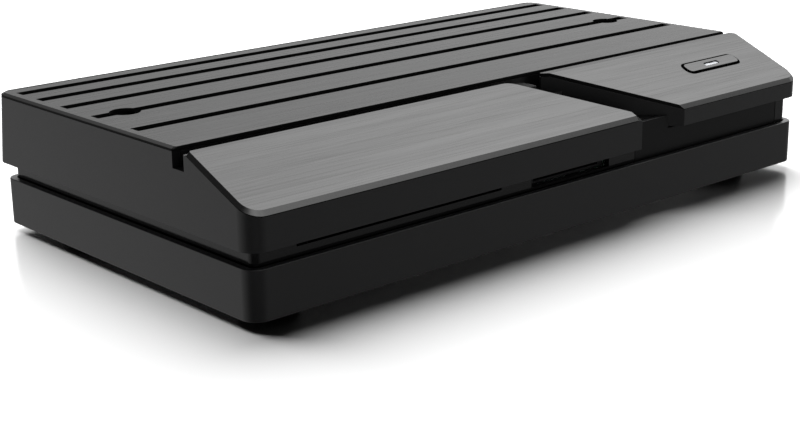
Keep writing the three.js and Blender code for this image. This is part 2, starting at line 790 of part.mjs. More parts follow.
// The middle of each socket, from the left end of the rear opening: the gaps before, between and
// after the sockets share what the sockets leave of it
function socketRow() {
  const end = halfWidth - rearCutInset;
  const used = rowWidths.reduce((left, width) => left + width, 0);
  const gaps = spread(rowGapShares, 2 * end - used);
  let left = -end;
  return rowWidths.map((width, i) => {
    const middle = left + gaps[i] + width / 2;
    left += gaps[i] + width;
    return middle;
  });
}
const [tuner1X, tuner2X, video1X, video2X, networkX, dataX, opticalX, inletX] = socketRow();
const tunerX = [tuner1X, tuner2X];
const videoX = [video1X, video2X];

function rearPanel() {
  const end = halfWidth - frameEndInset + frameWall;
  let panel = box(-end, end, rearPanelFront, rearPanelBack, trayFloorTop + bondGap,
    shellTop - shellRoof - fitGap);
  const sockets = [
    ...videoX.map((x) => [x, videoWidth, videoHeight]),
    [networkX, networkWidth, networkHeight],
    [dataX, dataWidth, dataHeight],
    [opticalX, opticalWidth, opticalHeight],
    [inletX, inletWidth, inletHeight],
  ];
  for (const [x, width, height] of sockets) {
    const half = width / 2 + fitGap;
    panel = cut(panel, box(x - half, x + half, rearPanelFront - overrun, rearPanelBack + overrun,
      boardTop - fitGap, boardTop + height + fitGap));
  }
  for (const x of tunerX) {
    const hole = post(0, 0, 0, overrun * 2, barrelCollarRadius + fitGap, fineSides);
    const place = [x, rearPanelBack + overrun, boardTop + barrelHeight];
    panel = cut(panel, moved(hole, { turnX: Math.PI / 2, place }));
  }
  return panel;
}

function mainBoard() {
  let board = box(-boardHalfWidth, boardHalfWidth, boardFront, boardBack, boardBottom, boardTop);
  for (const [x, y] of boardScrewPlaces) {
    board = cut(board, post(x, y, boardBottom - overrun, boardTop + overrun, boardHoleRadius));
  }
  return board;
}

// A pan-head screw whose head sits on Z = 0 and whose shank points down
const headEdgeShare = 0.6;
const headCrownShare = 0.7;

function screw(headRadius, headHeight, radius, length) {
  return turned([
    [0, -length], [radius, -length], [radius, 0], [headRadius, 0],
    [headRadius, headHeight * headEdgeShare], [headRadius * headCrownShare, headHeight], [0, headHeight],
  ], smallSides);
}

// Cuts a mouth into a socket from its back end
function socketBody(width, height, depth, mouths) {
  let body = box(-width / 2, width / 2, -depth, 0, 0, height);
  for (const mouth of mouths) {
    body = cut(body, box(-mouth.width / 2, mouth.width / 2, -mouth.depth, overrun,
      mouth.bottom, mouth.bottom + mouth.height));
    if (mouth.tongue) {
      const middle = mouth.bottom + mouth.height * mouth.tongueShare;
      body = join(body, box(-mouth.width / 2 + mouth.tongueMargin, mouth.width / 2 - mouth.tongueMargin,
        -mouth.depth - hairline, -mouth.tongueSetBack, middle - mouth.tongue / 2, middle + mouth.tongue / 2));
    }
  }
  return body;
}

function videoSocket() {
  return socketBody(videoWidth, videoHeight, videoDepth, [{
    width: videoWidth - 2 * videoWall, height: videoHeight - 2 * videoWall, depth: videoDepth - videoWall,
    bottom: videoWall, tongue: videoTongue, tongueShare: 0.5, tongueMargin: 2 * videoWall,
    tongueSetBack: videoWall,
  }]);
}

function networkSocket() {
  return socketBody(networkWidth, networkHeight, networkDepth, [{
    width: networkMouthWidth, height: networkMouthHeight, depth: networkMouthDepth, bottom: networkMouthLift,
  }]);
}

function dataSocket() {
  const spare = (dataHeight - 2 * dataMouthHeight - dataWall) / 2;
  const mouth = {
    width: dataWidth - 2 * dataWall, height: dataMouthHeight, depth: dataMouthDepth, tongue: dataTongue,
    tongueShare: 0.7, tongueMargin: dataWall, tongueSetBack: dataWall,
  };
  return socketBody(dataWidth, dataHeight, dataDepth, [
    { ...mouth, bottom: spare }, { ...mouth, bottom: spare + dataMouthHeight + dataWall },
  ]);
}

const opticalMouthBottom = (opticalHeight - opticalMouth) / 2;
const shutterPivotZ = opticalMouthBottom + opticalMouth - shutterPivotDrop;

function opticalSocket() {
  return socketBody(opticalWidth, opticalHeight, opticalDepth, [{
    width: opticalMouth, height: opticalMouth, depth: opticalMouthDepth, bottom: opticalMouthBottom,
  }]);
}

// The shutter hangs from a thin roller at its top edge, drawn about the roller's axis
function opticalShutter() {
  const half = opticalMouth / 2 - fitGap;
  const roller = moved(post(0, 0, -half, half, shutterThickness / 2, smallSides), { turnY: Math.PI / 2 });
  const drop = opticalMouth - shutterPivotDrop - fitGap;
  return join(roller, box(-half, half, -shutterThickness / 2, shutterThickness / 2, -drop, 0));
}

function inletSocket() {
  const bore = moved(post(0, 0, 0, inletBoreDepth + overrun, inletBoreRadius),
    { turnX: Math.PI / 2, place: [0, overrun, inletLift] });
  return cut(socketBody(inletWidth, inletHeight, inletDepth, []), bore);
}

// Drawn along +Y: from the can's back face to the mouth, with rings for the thread
function connectorBarrel() {
  const length = barrelEnd - boardBack;
  const profile = [[0, 0], [barrelCollarRadius, 0], [barrelCollarRadius, barrelCollar + rearPanelThickness]];
  let z = barrelCollar + rearPanelThickness;
  profile.push([barrelRadius - threadDepth, z]);
  for (let i = 0; i < threadRings; i += 1) {
    profile.push([barrelRadius, z + threadPitch / 2], [barrelRadius - threadDepth, z + threadPitch]);
    z += threadPitch;
  }
  profile.push([barrelRadius - threadDepth, length], [barrelBore, length]);
  profile.push([barrelBore, length - barrelBoreDepth], [0, length - barrelBoreDepth]);
  return moved(turned(profile, smallSides), { turnX: -Math.PI / 2 });
}

// Card readers: a flat black cage on legs, open at the front
const cageWall = 0.7;
const cageSetBack = 0.3;
const cardWidth = 54.6;
const cageToTuners = 4.8;
const cardCageHeight = 4;
const cardCageMargin = 3;
const memoryCardWidth = 24.4;
const memoryDepth = 24;
const memoryCageMargin = 2;
const legSide = 2.5;
const cageFront = frameInset + frameWall + cageSetBack;
const cardDepth = boardBack - bondGap - tunerDepth - cageToTuners - cageFront;

function cardCage(width, mouthBottom, mouthHeight, margin, depth, bottom, height) {
  const half = width / 2;
  let cage = box(-half - margin, half + margin, 0, depth, bottom, bottom + height);
  cage = cut(cage, box(-half, half, -overrun, depth - margin, mouthBottom, mouthBottom + mouthHeight));
  for (const x of [-half - margin, half + margin - legSide]) {
    for (const y of [boardFront, depth - legSide]) {
      cage = join(cage, box(x, x + legSide, y, y + legSide, boardTop + bondGap, bottom + cageWall / 2));
    }
  }
  return cage;
}

// Heat sink: a base plate with upright fins
const sinkSide = 40;
const sinkBase = 2.5;
const sinkHeight = 12;
const finCount = 9;
const finThickness = 1.2;
const processorSide = 21;
const processorHeight = 1.8;
const padHeight = 0.5;
const processorX = 24;

// Bare lengths of the board between the memory cage and the heat sink, and from there to the network socket
const sinkMarginShares = [11.6, 7.6];
const cageBack = cageFront + memoryDepth;
const sinkRoom = socketMouth - networkDepth - cageBack;
const processorY = cageBack + spread(sinkMarginShares, sinkRoom - sinkSide)[0] + sinkSide / 2;

function heatSink() {
  let sink = box(-sinkSide / 2, sinkSide / 2, -sinkSide / 2, sinkSide / 2, 0, sinkHeight);
  const pitch = (sinkSide - finThickness) / (finCount - 1);
  for (let i = 0; i + 1 < finCount; i += 1) {
    const x0 = -sinkSide / 2 + finThickness + i * pitch;
    sink = cut(sink, box(x0, x0 + pitch - finThickness, -sinkSide, sinkSide, sinkBase, sinkHeight + overrun));
  }
  return sink;
}

// Flat cable from the front board down to its socket on the main board
const cableSocketHeight = 3;
const cableSocketDepth = 4;
const cableSocketRim = 1;

function cableSocket() {
  const half = cableWidth / 2 + cableSocketRim;
  return box(-half, half, -cableSocketDepth / 2, cableSocketDepth / 2, 0, cableSocketHeight);
}

function frontCable() {
  const socketTop = boardTop + 2 * bondGap + cableSocketHeight;
  const half = cableWidth / 2;
  const drop = -frontBoardBottom / Math.cos(slopeAngle) + bondGap;
  const back = cableY + cableThickness / 2;
  const upright = box(cableX - half, cableX + half, back - cableThickness, back,
    socketTop + bondGap, topHeight);
  const slanted = cut(
    box(cableX - half, cableX + half, buttonCentreY + frontBoardHeight / 2, back, wingBottom, topHeight),
    underTop(drop + cableThickness / Math.cos(slopeAngle)));
  return keep(join(upright, slanted), underTop(drop));
}

// Infra-red receiver on three leads, behind the window
const infraredOffset = 8;
const infraredWidth = 6;
const infraredDepth = 4;
const infraredLead = 0.8;
const infraredLiftShare = 0.5;

function infraredReceiver() {
  const half = infraredWidth / 2;
  const bodyTop = wingBottom - frameWall - fitGap * 3;
  const bodyBottom = boardTop + (bodyTop - boardTop) * infraredLiftShare;
  let body = box(-half, half, 0, infraredDepth, bodyBottom, bodyTop);
  for (const x of [-infraredWidth / 3, 0, infraredWidth / 3]) {
    body = join(body, box(x - infraredLead / 2, x + infraredLead / 2, infraredDepth - infraredLead * 2,
      infraredDepth - infraredLead, boardTop + bondGap, bodyBottom + infraredLead));
  }
  return body;
}

// Assembly

const receiver = new THREE.Group();
receiver.position.y = -barrelEnd / 2;

function add(name, solid, material, place = [0, 0, 0], parent = receiver) {
  const mesh = new THREE.Mesh(toGeometry(solid), materials[material]);
  mesh.name = name;
  mesh.position.set(...place);
  parent.add(mesh);
  return mesh;
}

add('base_tray', baseTray(), 'moulded');
for (const [name, [x, y]] of Object.entries(footPlaces)) {
  add(name, foot(), 'rubber', [x, y, 0]);
}
add('inner_frame', innerFrame(), 'moulded');
add('infrared_window', infraredWindow(), 'smoked');
add('upper_shell', upperShell(), 'moulded');
add('deck_plate', deckPlate(), 'brushed');
add('left_front_panel', leftFrontPanel(), 'brushed');
add('wing_plate', wingPlate(), 'brushed');
add('wing_housing', wingHousing(), 'moulded');
add('rear_panel', rearPanel(), 'moulded');

const coverScrew = screw(screwHeadRadius, screwHeadHeight, screwRadius, coverScrewLength);
add('cover_screw_left', coverScrew, 'steel', [-accessHoleX, accessHoleY, coverScrewSeat + bondGap]);
add('cover_screw_right', coverScrew, 'steel', [accessHoleX, accessHoleY, coverScrewSeat + bondGap]);
wingScrewPlaces.forEach(([x, y], i) => {
  const length = wingFloor + fitGap + frameWall;
  add(`wing_screw_${i + 1}`, screw(wingScrewRadius * 2, wingScrewRadius, wingScrewRadius, length), 'steel',
    [x, y, wingBottom + wingFloor + bondGap]);
});

// Button group, turned to the slope
const slope = new THREE.Group();
slope.position.set(buttonCentreX, buttonCentreY, slopeTop(buttonCentreY));
slope.rotation.x = slopeAngle;
receiver.add(slope);

function powerButton() {
  const cap = buttonPad(0, flangeTop - hairline, buttonProud);
  const flange = buttonPad(flangeRim + buttonGap, flangeTop - flangeThickness, flangeTop);
  const stem = post(stemOffset, 0, flangeTop - flangeThickness - stemLength,
    flangeTop - flangeThickness / 2, stemRadius);
  return cut(join(cap, flange, stem), lightPad(lightBarGap, -overrun, overrun));
}

function plunger() {
  return post(0, 0, -plungerFoot, plungerProud, plungerRadius);
}

function pushSwitch() {
  const half = switchSide / 2;
  return cut(box(-half, half, -half, half, 0, switchHeight),
    post(0, 0, switchHeight - plungerFoot - buttonTravel - fitGap, switchHeight + overrun,
      plungerRadius + bondGap));
}

add('power_button', powerButton(), 'brushed', [0, 0, 0], slope);
const lightBarTop = buttonProud - lightBarSink;
add('button_light_bar', lightPad(0, lightBarTop - lightBarDepth, lightBarTop), 'light', [0, 0, 0], slope);
add('switch_plunger', plunger(), 'chip', [stemOffset, 0, switchTop], slope);
add('push_switch', pushSwitch(), 'chip', [stemOffset, 0, frontBoardTop], slope);
add('front_board', box(-frontBoardWidth / 2, frontBoardWidth / 2, -frontBoardHeight / 2,
  frontBoardHeight / 2, frontBoardBottom, frontBoardTop - bondGap), 'board', [0, 0, 0], slope);
add('status_light', box(-ledWidth / 2, ledWidth / 2, -ledDepth / 2, ledDepth / 2, 0, ledHeight),
  'light', [0, 0, frontBoardTop], slope);

// Main board and its pieces
add('main_board', mainBoard(), 'board', [0, 0, bondGap]);
const onBoard = boardTop + 2 * bondGap;
const boardScrewLength = boardThickness + boardLift / 2;
boardScrewPlaces.forEach(([x, y], i) => {
  add(`board_screw_${i + 1}`, screw(screwHeadRadius, screwHeadHeight, screwRadius, boardScrewLength),
    'steel', [x, y, onBoard]);
});
add('processor', box(-processorSide / 2, processorSide / 2, -processorSide / 2, processorSide / 2, 0,
  processorHeight), 'chip', [processorX, processorY, onBoard]);
add('thermal_pad', box(-processorSide / 2, processorSide / 2, -processorSide / 2, processorSide / 2, 0,
  padHeight), 'pad', [processorX, processorY, onBoard + processorHeight + bondGap]);
add('heat_sink', heatSink(), 'steel',
  [processorX, processorY, onBoard + processorHeight + padHeight + 2 * bondGap]);

const chipSide = 12;
const chipDepth = 9;
const chipHeight = 1.2;
const chipGap = 4;
const chipToSink = 1;
const chip = () => box(-chipSide / 2, chipSide / 2, -chipDepth / 2, chipDepth / 2, 0, chipHeight);
const chipPitch = chipSide + chipGap;
const chipRowY = processorY - sinkSide / 2 - chipDepth / 2 - chipToSink;
['memory_chip_1', 'memory_chip_2', 'flash_chip'].forEach((name, i) => {
  add(name, chip(), 'chip', [processorX + (i - 1) * chipPitch, chipRowY, onBoard]);
});
const capacitorRadius = 4;
const capacitorHeight = 12;
const capacitorGap = 2;
const capacitorCount = 3;
const capacitorPitch = 2 * capacitorRadius + capacitorGap;
for (let i = 0; i < capacitorCount; i += 1) {
  const y = processorY + (i - (capacitorCount - 1) / 2) * capacitorPitch;
  add(`capacitor_${i + 1}`, post(0, 0, 0, capacitorHeight, capacitorRadius), 'steel',
    [inletX - capacitorRadius, y, onBoard]);
}

// Rear sockets
tunerX.forEach((x, i) => {
  const can = box(-tunerWidth / 2, tunerWidth / 2, -tunerDepth, 0, 0, tunerHeight);
  add(`tuner_can_${i + 1}`, can, 'nickel', [x, boardBack - bondGap, onBoard]);
  add(`antenna_connector_${i + 1}`, connectorBarrel(), 'nickel', [x, boardBack, onBoard + barrelHeight]);
});
videoX.forEach((x, i) => {
  add(`video_socket_${i + 1}`, videoSocket(), 'nickel', [x, socketMouth, onBoard]);
});
add('network_socket', networkSocket(), 'nickel', [networkX, socketMouth, onBoard]);
add('data_socket', dataSocket(), 'nickel', [dataX, socketMouth, onBoard]);
add('optical_socket', opticalSocket(), 'chip', [opticalX, socketMouth, onBoard]);
add('optical_shutter', opticalShutter(), 'chip',
  [opticalX, socketMouth - shutterSetBack, onBoard + shutterPivotZ]);
add('power_inlet', inletSocket(), 'chip', [inletX, socketMouth, onBoard]);
const pinLength = inletBoreDepth - fitGap;
const inletPin = moved(post(0, 0, 0, pinLength, inletPinRadius, smallSides), { turnX: Math.PI / 2 });
add('power_inlet_pin', inletPin, 'nickel',
  [inletX, socketMouth - fitGap / 2, onBoard + inletLift]);

// Card readers and the front's small parts
add('card_reader', cardCage(cardWidth, cardSlotZ - cardSlotHeight / 2, cardSlotHeight, cardCageMargin,
  cardDepth, cardSlotZ - cardCageHeight / 2, cardCageHeight), 'chip',
  [(cardSlotLeft + cardSlotRight) / 2, cageFront, bondGap]);
add('memory_card_reader', cardCage(memoryCardWidth, memorySlotBottom + cageWall,
  memorySlotHeight - 2 * cageWall, memoryCageMargin,
  memoryDepth, memorySlotBottom, memorySlotHeight + cageWall),
  'chip', [(memorySlotLeft + memorySlotRight) / 2, cageFront, bondGap]);
add('front_cable', frontCable(), 'cable');
add('cable_socket', cableSocket(), 'chip', [cableX, cableY, onBoard]);
add('infrared_receiver', infraredReceiver(), 'chip',
  [(windowLeft + windowRight) / 2 + infraredOffset, boardFront, bondGap]);

export default receiver;
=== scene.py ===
"""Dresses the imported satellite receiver: finer surfaces, finishes, studio and camera."""

import json
import math

import bmesh
import bpy
import numpy as np
from bpy.props import FloatProperty, FloatVectorProperty, IntProperty, PointerProperty
from mathutils import Matrix, Vector


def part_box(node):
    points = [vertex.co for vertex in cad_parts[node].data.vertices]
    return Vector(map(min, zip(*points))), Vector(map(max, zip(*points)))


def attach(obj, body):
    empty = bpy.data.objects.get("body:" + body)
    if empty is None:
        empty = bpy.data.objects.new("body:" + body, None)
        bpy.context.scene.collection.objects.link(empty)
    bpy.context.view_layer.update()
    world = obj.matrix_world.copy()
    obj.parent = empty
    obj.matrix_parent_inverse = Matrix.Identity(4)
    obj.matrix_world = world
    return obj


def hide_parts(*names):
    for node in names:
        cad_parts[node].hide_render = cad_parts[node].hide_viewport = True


bl_info = {
    "name": "Satellite receiver dressing",
    "version": (1, 0, 0),
    "blender": (4, 5, 0),
    "location": "View3D > Sidebar > Receiver",
    "description": "Finishes, fine pieces, studio and camera for the satellite receiver",
    "category": "Object",
}

MM = 0.001
UP = Vector((0, 0, 1))
# Points of a mesh nearer than this are one point
WELD = 0.001 * MM

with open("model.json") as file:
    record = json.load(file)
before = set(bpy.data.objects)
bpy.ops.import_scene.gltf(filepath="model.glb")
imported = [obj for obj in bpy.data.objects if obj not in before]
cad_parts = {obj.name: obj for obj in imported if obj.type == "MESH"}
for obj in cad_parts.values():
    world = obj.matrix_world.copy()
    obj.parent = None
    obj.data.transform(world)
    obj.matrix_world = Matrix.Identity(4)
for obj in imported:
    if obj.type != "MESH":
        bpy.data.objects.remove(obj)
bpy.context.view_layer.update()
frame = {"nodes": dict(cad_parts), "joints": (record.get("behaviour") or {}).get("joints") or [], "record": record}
nodes = frame["nodes"]
slot_of = {row["node"]: row["material_slot"] for row in frame["record"]["subparts"]}
body_of = {
    node: body
    for body, members in frame["record"]["behaviour"]["bodies"].items()
    for node in members
}
slope_up = -Vector(frame["joints"][0]["axis"])


def linear(hex_colour):
    """Linear red, green and blue of an sRGB colour written as six hex digits."""
    values = np.array([int(hex_colour[i : i + 2], 16) for i in (0, 2, 4)]) / 255
    low = values / 12.92
    high = ((values + 0.055) / 1.055) ** 2.4
    return tuple(float(value) for value in np.where(values <= 0.04045, low, high))


def colour(name, description, hex_colour):
    """A colour property whose default is an sRGB hex value."""
    return FloatVectorProperty(
        name=name, description=description, subtype="COLOR", size=3, min=0, max=1,
        default=linear(hex_colour),
    )


def length(name, description, millimetres):
    """A length property whose default is given in millimetres."""
    return FloatProperty(
        name=name, description=description, subtype="DISTANCE", unit="LENGTH",
        default=millimetres * MM, precision=5,
    )


def angle(name, description, degrees):
    """An angle property whose default is given in degrees."""
    return FloatProperty(
        name=name, description=description, subtype="ANGLE", unit="ROTATION",
        default=math.radians(degrees),
    )


class ReceiverSizes(bpy.types.PropertyGroup):
    """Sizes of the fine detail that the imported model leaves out."""

    plate_edge: length("Plate edge", "Rounding of the brushed plates' edges", 0.06)
    case_edge: length("Case edge", "Rounding of the moulded edges", 0.25)
    socket_edge: length("Socket edge", "Rounding of folded and moulded socket edges", 0.12)
    button_edge: length("Button edge", "Rounding of the button's cap", 0.1)
    # Below this depth the cap is black: painted shade in the groove round it
    cap_depth: length("Cap depth", "How far down from its top the button's cap is brushed", 0.2)
    crease: angle("Crease", "Edges that turn by less than this stay smooth", 18.5)
    turned_sides: IntProperty(
        name="Turned sides", description="Sides of a turned piece", default=64, min=12
    )
    foot_lip: length("Foot lip", "Rounding of a foot's lower rim", 0.7)
    foot_dish: length("Foot dish", "Depth of the hollow under a foot", 0.4)
    # Painted shade: the shell's upward faces down to this depth below its top are coloured black, for the shade in
    # its channel and ledges
    ledge_drop: length("Ledge drop", "Depth below the shell's top to which its tops are painted black as shade", 12)
    # Painted shade: a black line along the deck's rear edge stands for the shade there
    rear_line: length("Rear line", "Width of the black line along the deck's rear edge", 2)
    collar: length("Collar", "Length of the antenna connectors' smooth collar", 3)
    connector_edge: length("Connector edge", "Rounding of the antenna connectors' edges", 0.2)
    thread_pitch: length("Thread pitch", "Pitch of the antenna connectors' thread", 0.79)
    thread_depth: length("Thread depth", "Depth of the antenna connectors' thread", 0.42)
    insulator_drop: length("Insulator drop", "From a connector's mouth down to its insulator", 0.5)
    insulator_hole: length("Insulator hole", "Radius of the hole in an insulator", 0.55)
    contact_pitch: length("Contact pitch", "Spacing of the network socket's contacts", 1.02)
    contact_width: length("Contact width", "Width of a network contact", 0.4)
    contact_thickness: length("Contact thickness", "Thickness of a network contact", 0.25)
    contact_inset: length("Contact inset", "From the network socket's mouth to its contacts", 2)
    contact_reach: length("Contact reach", "How far the network contacts run inwards", 8)
    contact_height: length("Contact height", "Network contacts' height over the socket's underside", 8.6)
    contact_drop: length("Contact drop", "How far the network contacts sink on their way in", 3.6)
    tongue_width: length("Data contact width", "Width of a data contact", 1)
    tongue_thickness: length("Data contact thickness", "Thickness of a data contact", 0.16)
    brush_length: length("Brush length", "Length of a line left by the brushing", 26)
    brush_width: length("Brush width", "Width of a brush line, drawn as coarse as shows", 0.5)
    spark_grain: length("Spark grain", "Grain of spark-eroded mouldings", 0.35)


class ReceiverColours(bpy.types.PropertyGroup):
    """Colours of the finishes."""

    plate: colour("Plate", "Dark anodised aluminium, between the brush lines", "777777")
    plate_line: colour("Plate line", "Dark anodised aluminium, in the brush lines", "616161")
    case: colour("Case", "Black moulded plastic", "111112")
    # Painted shade: this black, matt colour goes on the plates' upright edges, the button cap's sides, the shell's
    # upward ledges and the deck's rear line, where shade falls
    painted_shade: colour("Painted shade", "Black and matt: painted shade on edges and ledges", "060606")
    window: colour("Window", "Smoked acrylic", "0a0a0b")
    rubber: colour("Rubber", "Foot rubber", "151515")
    light: colour("Light", "Lit light guide", "f2f5fa")
    mask: colour("Solder mask", "Green solder mask", "14402a")
    trace: colour("Trace", "Solder mask over copper", "1f5a3a")
    epoxy: colour("Epoxy", "Chip epoxy", "141416")
    steel: colour("Steel", "Zinc plated steel", "b4b6b8")
    nickel: colour("Nickel", "Nickel plate", "c9c4b8")
    gold: colour("Gold", "Gold plate on contacts", "e2b65a")
    paint: colour("Paint", "Powder coat on the rear panel", "1b1b1c")
    pad: colour("Pad", "Silicone pad", "8a8f98")
    cable: colour("Cable", "Flat cable's polyester", "d8d8d2")
    insulator: colour("Insulator", "White insulator", "e6e4dc")
    floor: colour("Floor", "Studio floor", "fbfbfb")


class ReceiverStudio(bpy.types.PropertyGroup):
    """Camera and light."""

    azimuth: angle("Azimuth", "Camera's turn about the upright axis", -41.62)
    elevation: angle("Elevation", "Camera's height above the horizon", 16.91)
    roll: angle("Roll", "Camera's turn about its own line of sight", -0.77)
    distance: length("Distance", "From the camera to the aim point", 435.64)
    aim_y: length("Aim Y", "Aim point's place along Y", -0.94)
    aim_z: length("Aim Z", "Aim point's height", 20.48)
    slide: length("Slide", "Camera's move to its right", -5.85)
    lift: length("Lift", "Camera's move along its up direction", -24.82)
    lens: FloatProperty(name="Lens", description="Focal length in millimetres", default=70.33)
    shift_x: FloatProperty(name="Shift X", description="Lens shift across", default=0.0025)
    shift_y: FloatProperty(name="Shift Y", description="Lens shift upwards", default=-0.0013)
    ambient: FloatProperty(name="Ambient", description="Brightness of the dim walls", default=0.1)
    spill: FloatProperty(
        name="Spill", description="Share of the walls' light that matt surfaces take", default=0.004
    )
    overhead: FloatProperty(name="Overhead", description="Power of the top light, in watts", default=126)
    overhead_size: length("Overhead size", "Width of the top light", 2800)
    overhead_right: length("Overhead right", "Top light's place along X", 400)
    overhead_back: length("Overhead back", "Top light's place along Y", 1250)
    overhead_height: length("Overhead height", "Top light's height", 1500)


# Soft glows on the studio walls: azimuth from the back towards the right, elevation, the angle
# to where it ends, and brightness. The last two lie below the horizon, where mirrors see them.
GLOWS = (
    (60, 27, 58, 1.9),
    (83, 27, 30, 0.8),
    (152, 52, 38, 1.25),
    (-150, 30, 45, 0.8),
    (-43, -17, 60, 0.66),
    (137, -17, 50, 0.28),
)


# Node trees


def add_node(tree, kind, settings, inputs):
    """Adds a node, sets its properties, and sets or links its inputs."""
    made = tree.nodes.new(kind)
    for name, value in settings.items():
        setattr(made, name, value)
    for key, value in inputs.items():
        if isinstance(value, bpy.types.NodeSocket):
            tree.links.new(value, made.inputs[key])
        else:
            made.inputs[key].default_value = value
    return made


def rgba(values):
    """A colour with full alpha."""
    return (*values, 1.0)


def shade(values, share):
    """A colour made lighter or darker by a share."""
    return tuple(value * share for value in values)


def new_material(name):
    """A material with an empty tree, its shader, and the piece's own coordinates."""
    material = bpy.data.materials.new(name)
    material.use_nodes = True
    tree = material.node_tree
    tree.nodes.clear()
    shader = add_node(tree, "ShaderNodeBsdfPrincipled", {}, {})
    add_node(tree, "ShaderNodeOutputMaterial", {}, {"Surface": shader.outputs["BSDF"]})
    place = add_node(tree, "ShaderNodeTexCoord", {}, {})
    return material, tree, shader, place.outputs["Object"]


def set_shader(shader, **values):
    """Sets plain values on the shader's own sockets."""
    for name, value in values.items():
        shader.inputs[name.replace("_", " ")].default_value = value


def patterned(name, low, high, grain, rough, relief=0.0, detail=2.0, **values):
    """A finish that follows one noise, whose grain has the given size in metres: the colour runs
    between two colours, the roughness between two values, and the skin rises by the relief.
    Other values are plain ones, for the shader's own sockets."""
    material, tree, shader, place = new_material(name)
    scale = tuple(1 / np.broadcast_to(grain, 3))
    mapping = add_node(tree, "ShaderNodeMapping", {}, {"Vector": place, "Scale": scale})
    noise = add_node(
        tree, "ShaderNodeTexNoise", {},
        {"Vector": mapping.outputs["Vector"], "Scale": 1.0, "Detail": detail, "Roughness": 0.6},
    ).outputs["Fac"]
    share = add_node(
        tree, "ShaderNodeMapRange", {}, {"Value": noise, "From Min": 0.3, "From Max": 0.7}
    ).outputs["Result"]
    mixed = add_node(
        tree, "ShaderNodeMix", {"data_type": "RGBA"}, {"Factor": share, "A": rgba(low), "B": rgba(high)}
    )
    tree.links.new(mixed.outputs["Result"], shader.inputs["Base Color"])
    roughness = add_node(
        tree, "ShaderNodeMapRange", {}, {"Value": share, "To Min": rough[0], "To Max": rough[1]}
    )
    tree.links.new(roughness.outputs["Result"], shader.inputs["Roughness"])
    if relief:
        bump = add_node(
            tree, "ShaderNodeBump", {}, {"Height": noise, "Strength": 1.0, "Distance": relief}
        )
        tree.links.new(bump.outputs["Normal"], shader.inputs["Normal"])
    set_shader(shader, **values)
    return material


# Materials, each made once


def brushed_aluminium(colours, sizes):
    """Dark anodised aluminium, brushed along X: long fine lines and a soft, stretched sheen."""
    material, tree, shader, place = new_material("anodised aluminium, brushed")
    line = np.array((sizes.brush_length, sizes.brush_width, sizes.brush_width))
    times_as_coarse = (1, 5)
    coarse_share = 0.4
    lines = []
    for times in times_as_coarse:
        scale = tuple(1 / (line * times))
        mapping = add_node(tree, "ShaderNodeMapping", {}, {"Vector": place, "Scale": scale})
        noise = add_node(
            tree, "ShaderNodeTexNoise", {},
            {"Vector": mapping.outputs["Vector"], "Scale": 1.0, "Detail": 3.0, "Roughness": 0.65},
        )
        lines.append(noise.outputs["Fac"])
    both = add_node(
        tree, "ShaderNodeMath", {"operation": "MULTIPLY_ADD"},
        {0: lines[1], 1: coarse_share, 2: lines[0]},
    )
    share = add_node(
        tree, "ShaderNodeMapRange", {},
        {"Value": both.outputs["Value"], "From Min": 0.45, "From Max": 0.95},
    ).outputs["Result"]
    mixed = add_node(
        tree, "ShaderNodeMix", {"data_type": "RGBA"},
        {"Factor": share, "A": rgba(colours.plate_line), "B": rgba(colours.plate)},
    )
    tree.links.new(mixed.outputs["Result"], shader.inputs["Base Color"])
    roughness = add_node(
        tree, "ShaderNodeMapRange", {},
        {"Value": lines[0], "From Min": 0.3, "From Max": 0.7, "To Min": 0.22, "To Max": 0.39},
    )
    tree.links.new(roughness.outputs["Result"], shader.inputs["Roughness"])
    across = add_node(tree, "ShaderNodeCombineXYZ", {}, {"Y": 1.0})
    tree.links.new(across.outputs["Vector"], shader.inputs["Tangent"])
    bump = add_node(
        tree, "ShaderNodeBump", {}, {"Height": lines[0], "Strength": 0.12, "Distance": 0.03 * MM}
    )
    tree.links.new(bump.outputs["Normal"], shader.inputs["Normal"])
    set_shader(shader, Metallic=1.0, Anisotropic=0.4, Specular_Tint=rgba((0.41, 0.41, 0.41)))
    return material


def moulded_plastic(colours, sizes):
    """Black ABS from a spark-eroded mould: satin and nearly black, with a very fine grain."""
    return patterned(
        "ABS, moulded, fine grain", shade(colours.case, 0.85), colours.case,
        grain=sizes.spark_grain, rough=(0.36, 0.44), relief=0.003 * MM, Specular_IOR_Level=0.35,
    )


def milled_aluminium(colours, sizes):
    """The chamfer round a plate: milled, so smoother than the brushed top, and it mirrors more. Its colour, darker
    than the plate's, is painted shade.
    """
    return patterned(
        "anodised aluminium, milled", shade(colours.plate_line, 0.82), shade(colours.plate_line, 0.9),
        grain=sizes.brush_width, rough=(0.14, 0.18),
        Metallic=1.0, Specular_Tint=rgba((0.4, 0.4, 0.4)),
    )


def inner_plastic(colours, sizes):
    """Black ABS of the recessed frame: polished, so it mirrors the tray's rim and the wall's glow. Its colour,
    darker than the case's, is painted shade in the recess.
    """
    return patterned(
        "ABS, moulded, polished", shade(colours.case, 0.6), shade(colours.case, 0.7),
        grain=sizes.spark_grain, rough=(0.12, 0.16), Specular_IOR_Level=0.22,
    )


def painted_shade(colours, sizes):
    """Painted shade: black and matt on the plates' edges, the shell's ledges and the deck's rear line, so they
    read as black lines.
    """
    return patterned(
        "painted shade, black, matt", shade(colours.painted_shade, 0.7), colours.painted_shade,
        grain=sizes.spark_grain, rough=(0.6, 0.7), Specular_IOR_Level=0.1,
    )


def smoked_acrylic(colours, sizes):
    """Infra-red window: smoked acrylic, satin, nearly black by daylight."""
    return patterned(
        "acrylic, smoked", shade(colours.window, 0.8), colours.window,
        grain=12 * MM, rough=(0.3, 0.36), Specular_IOR_Level=0.14,
    )


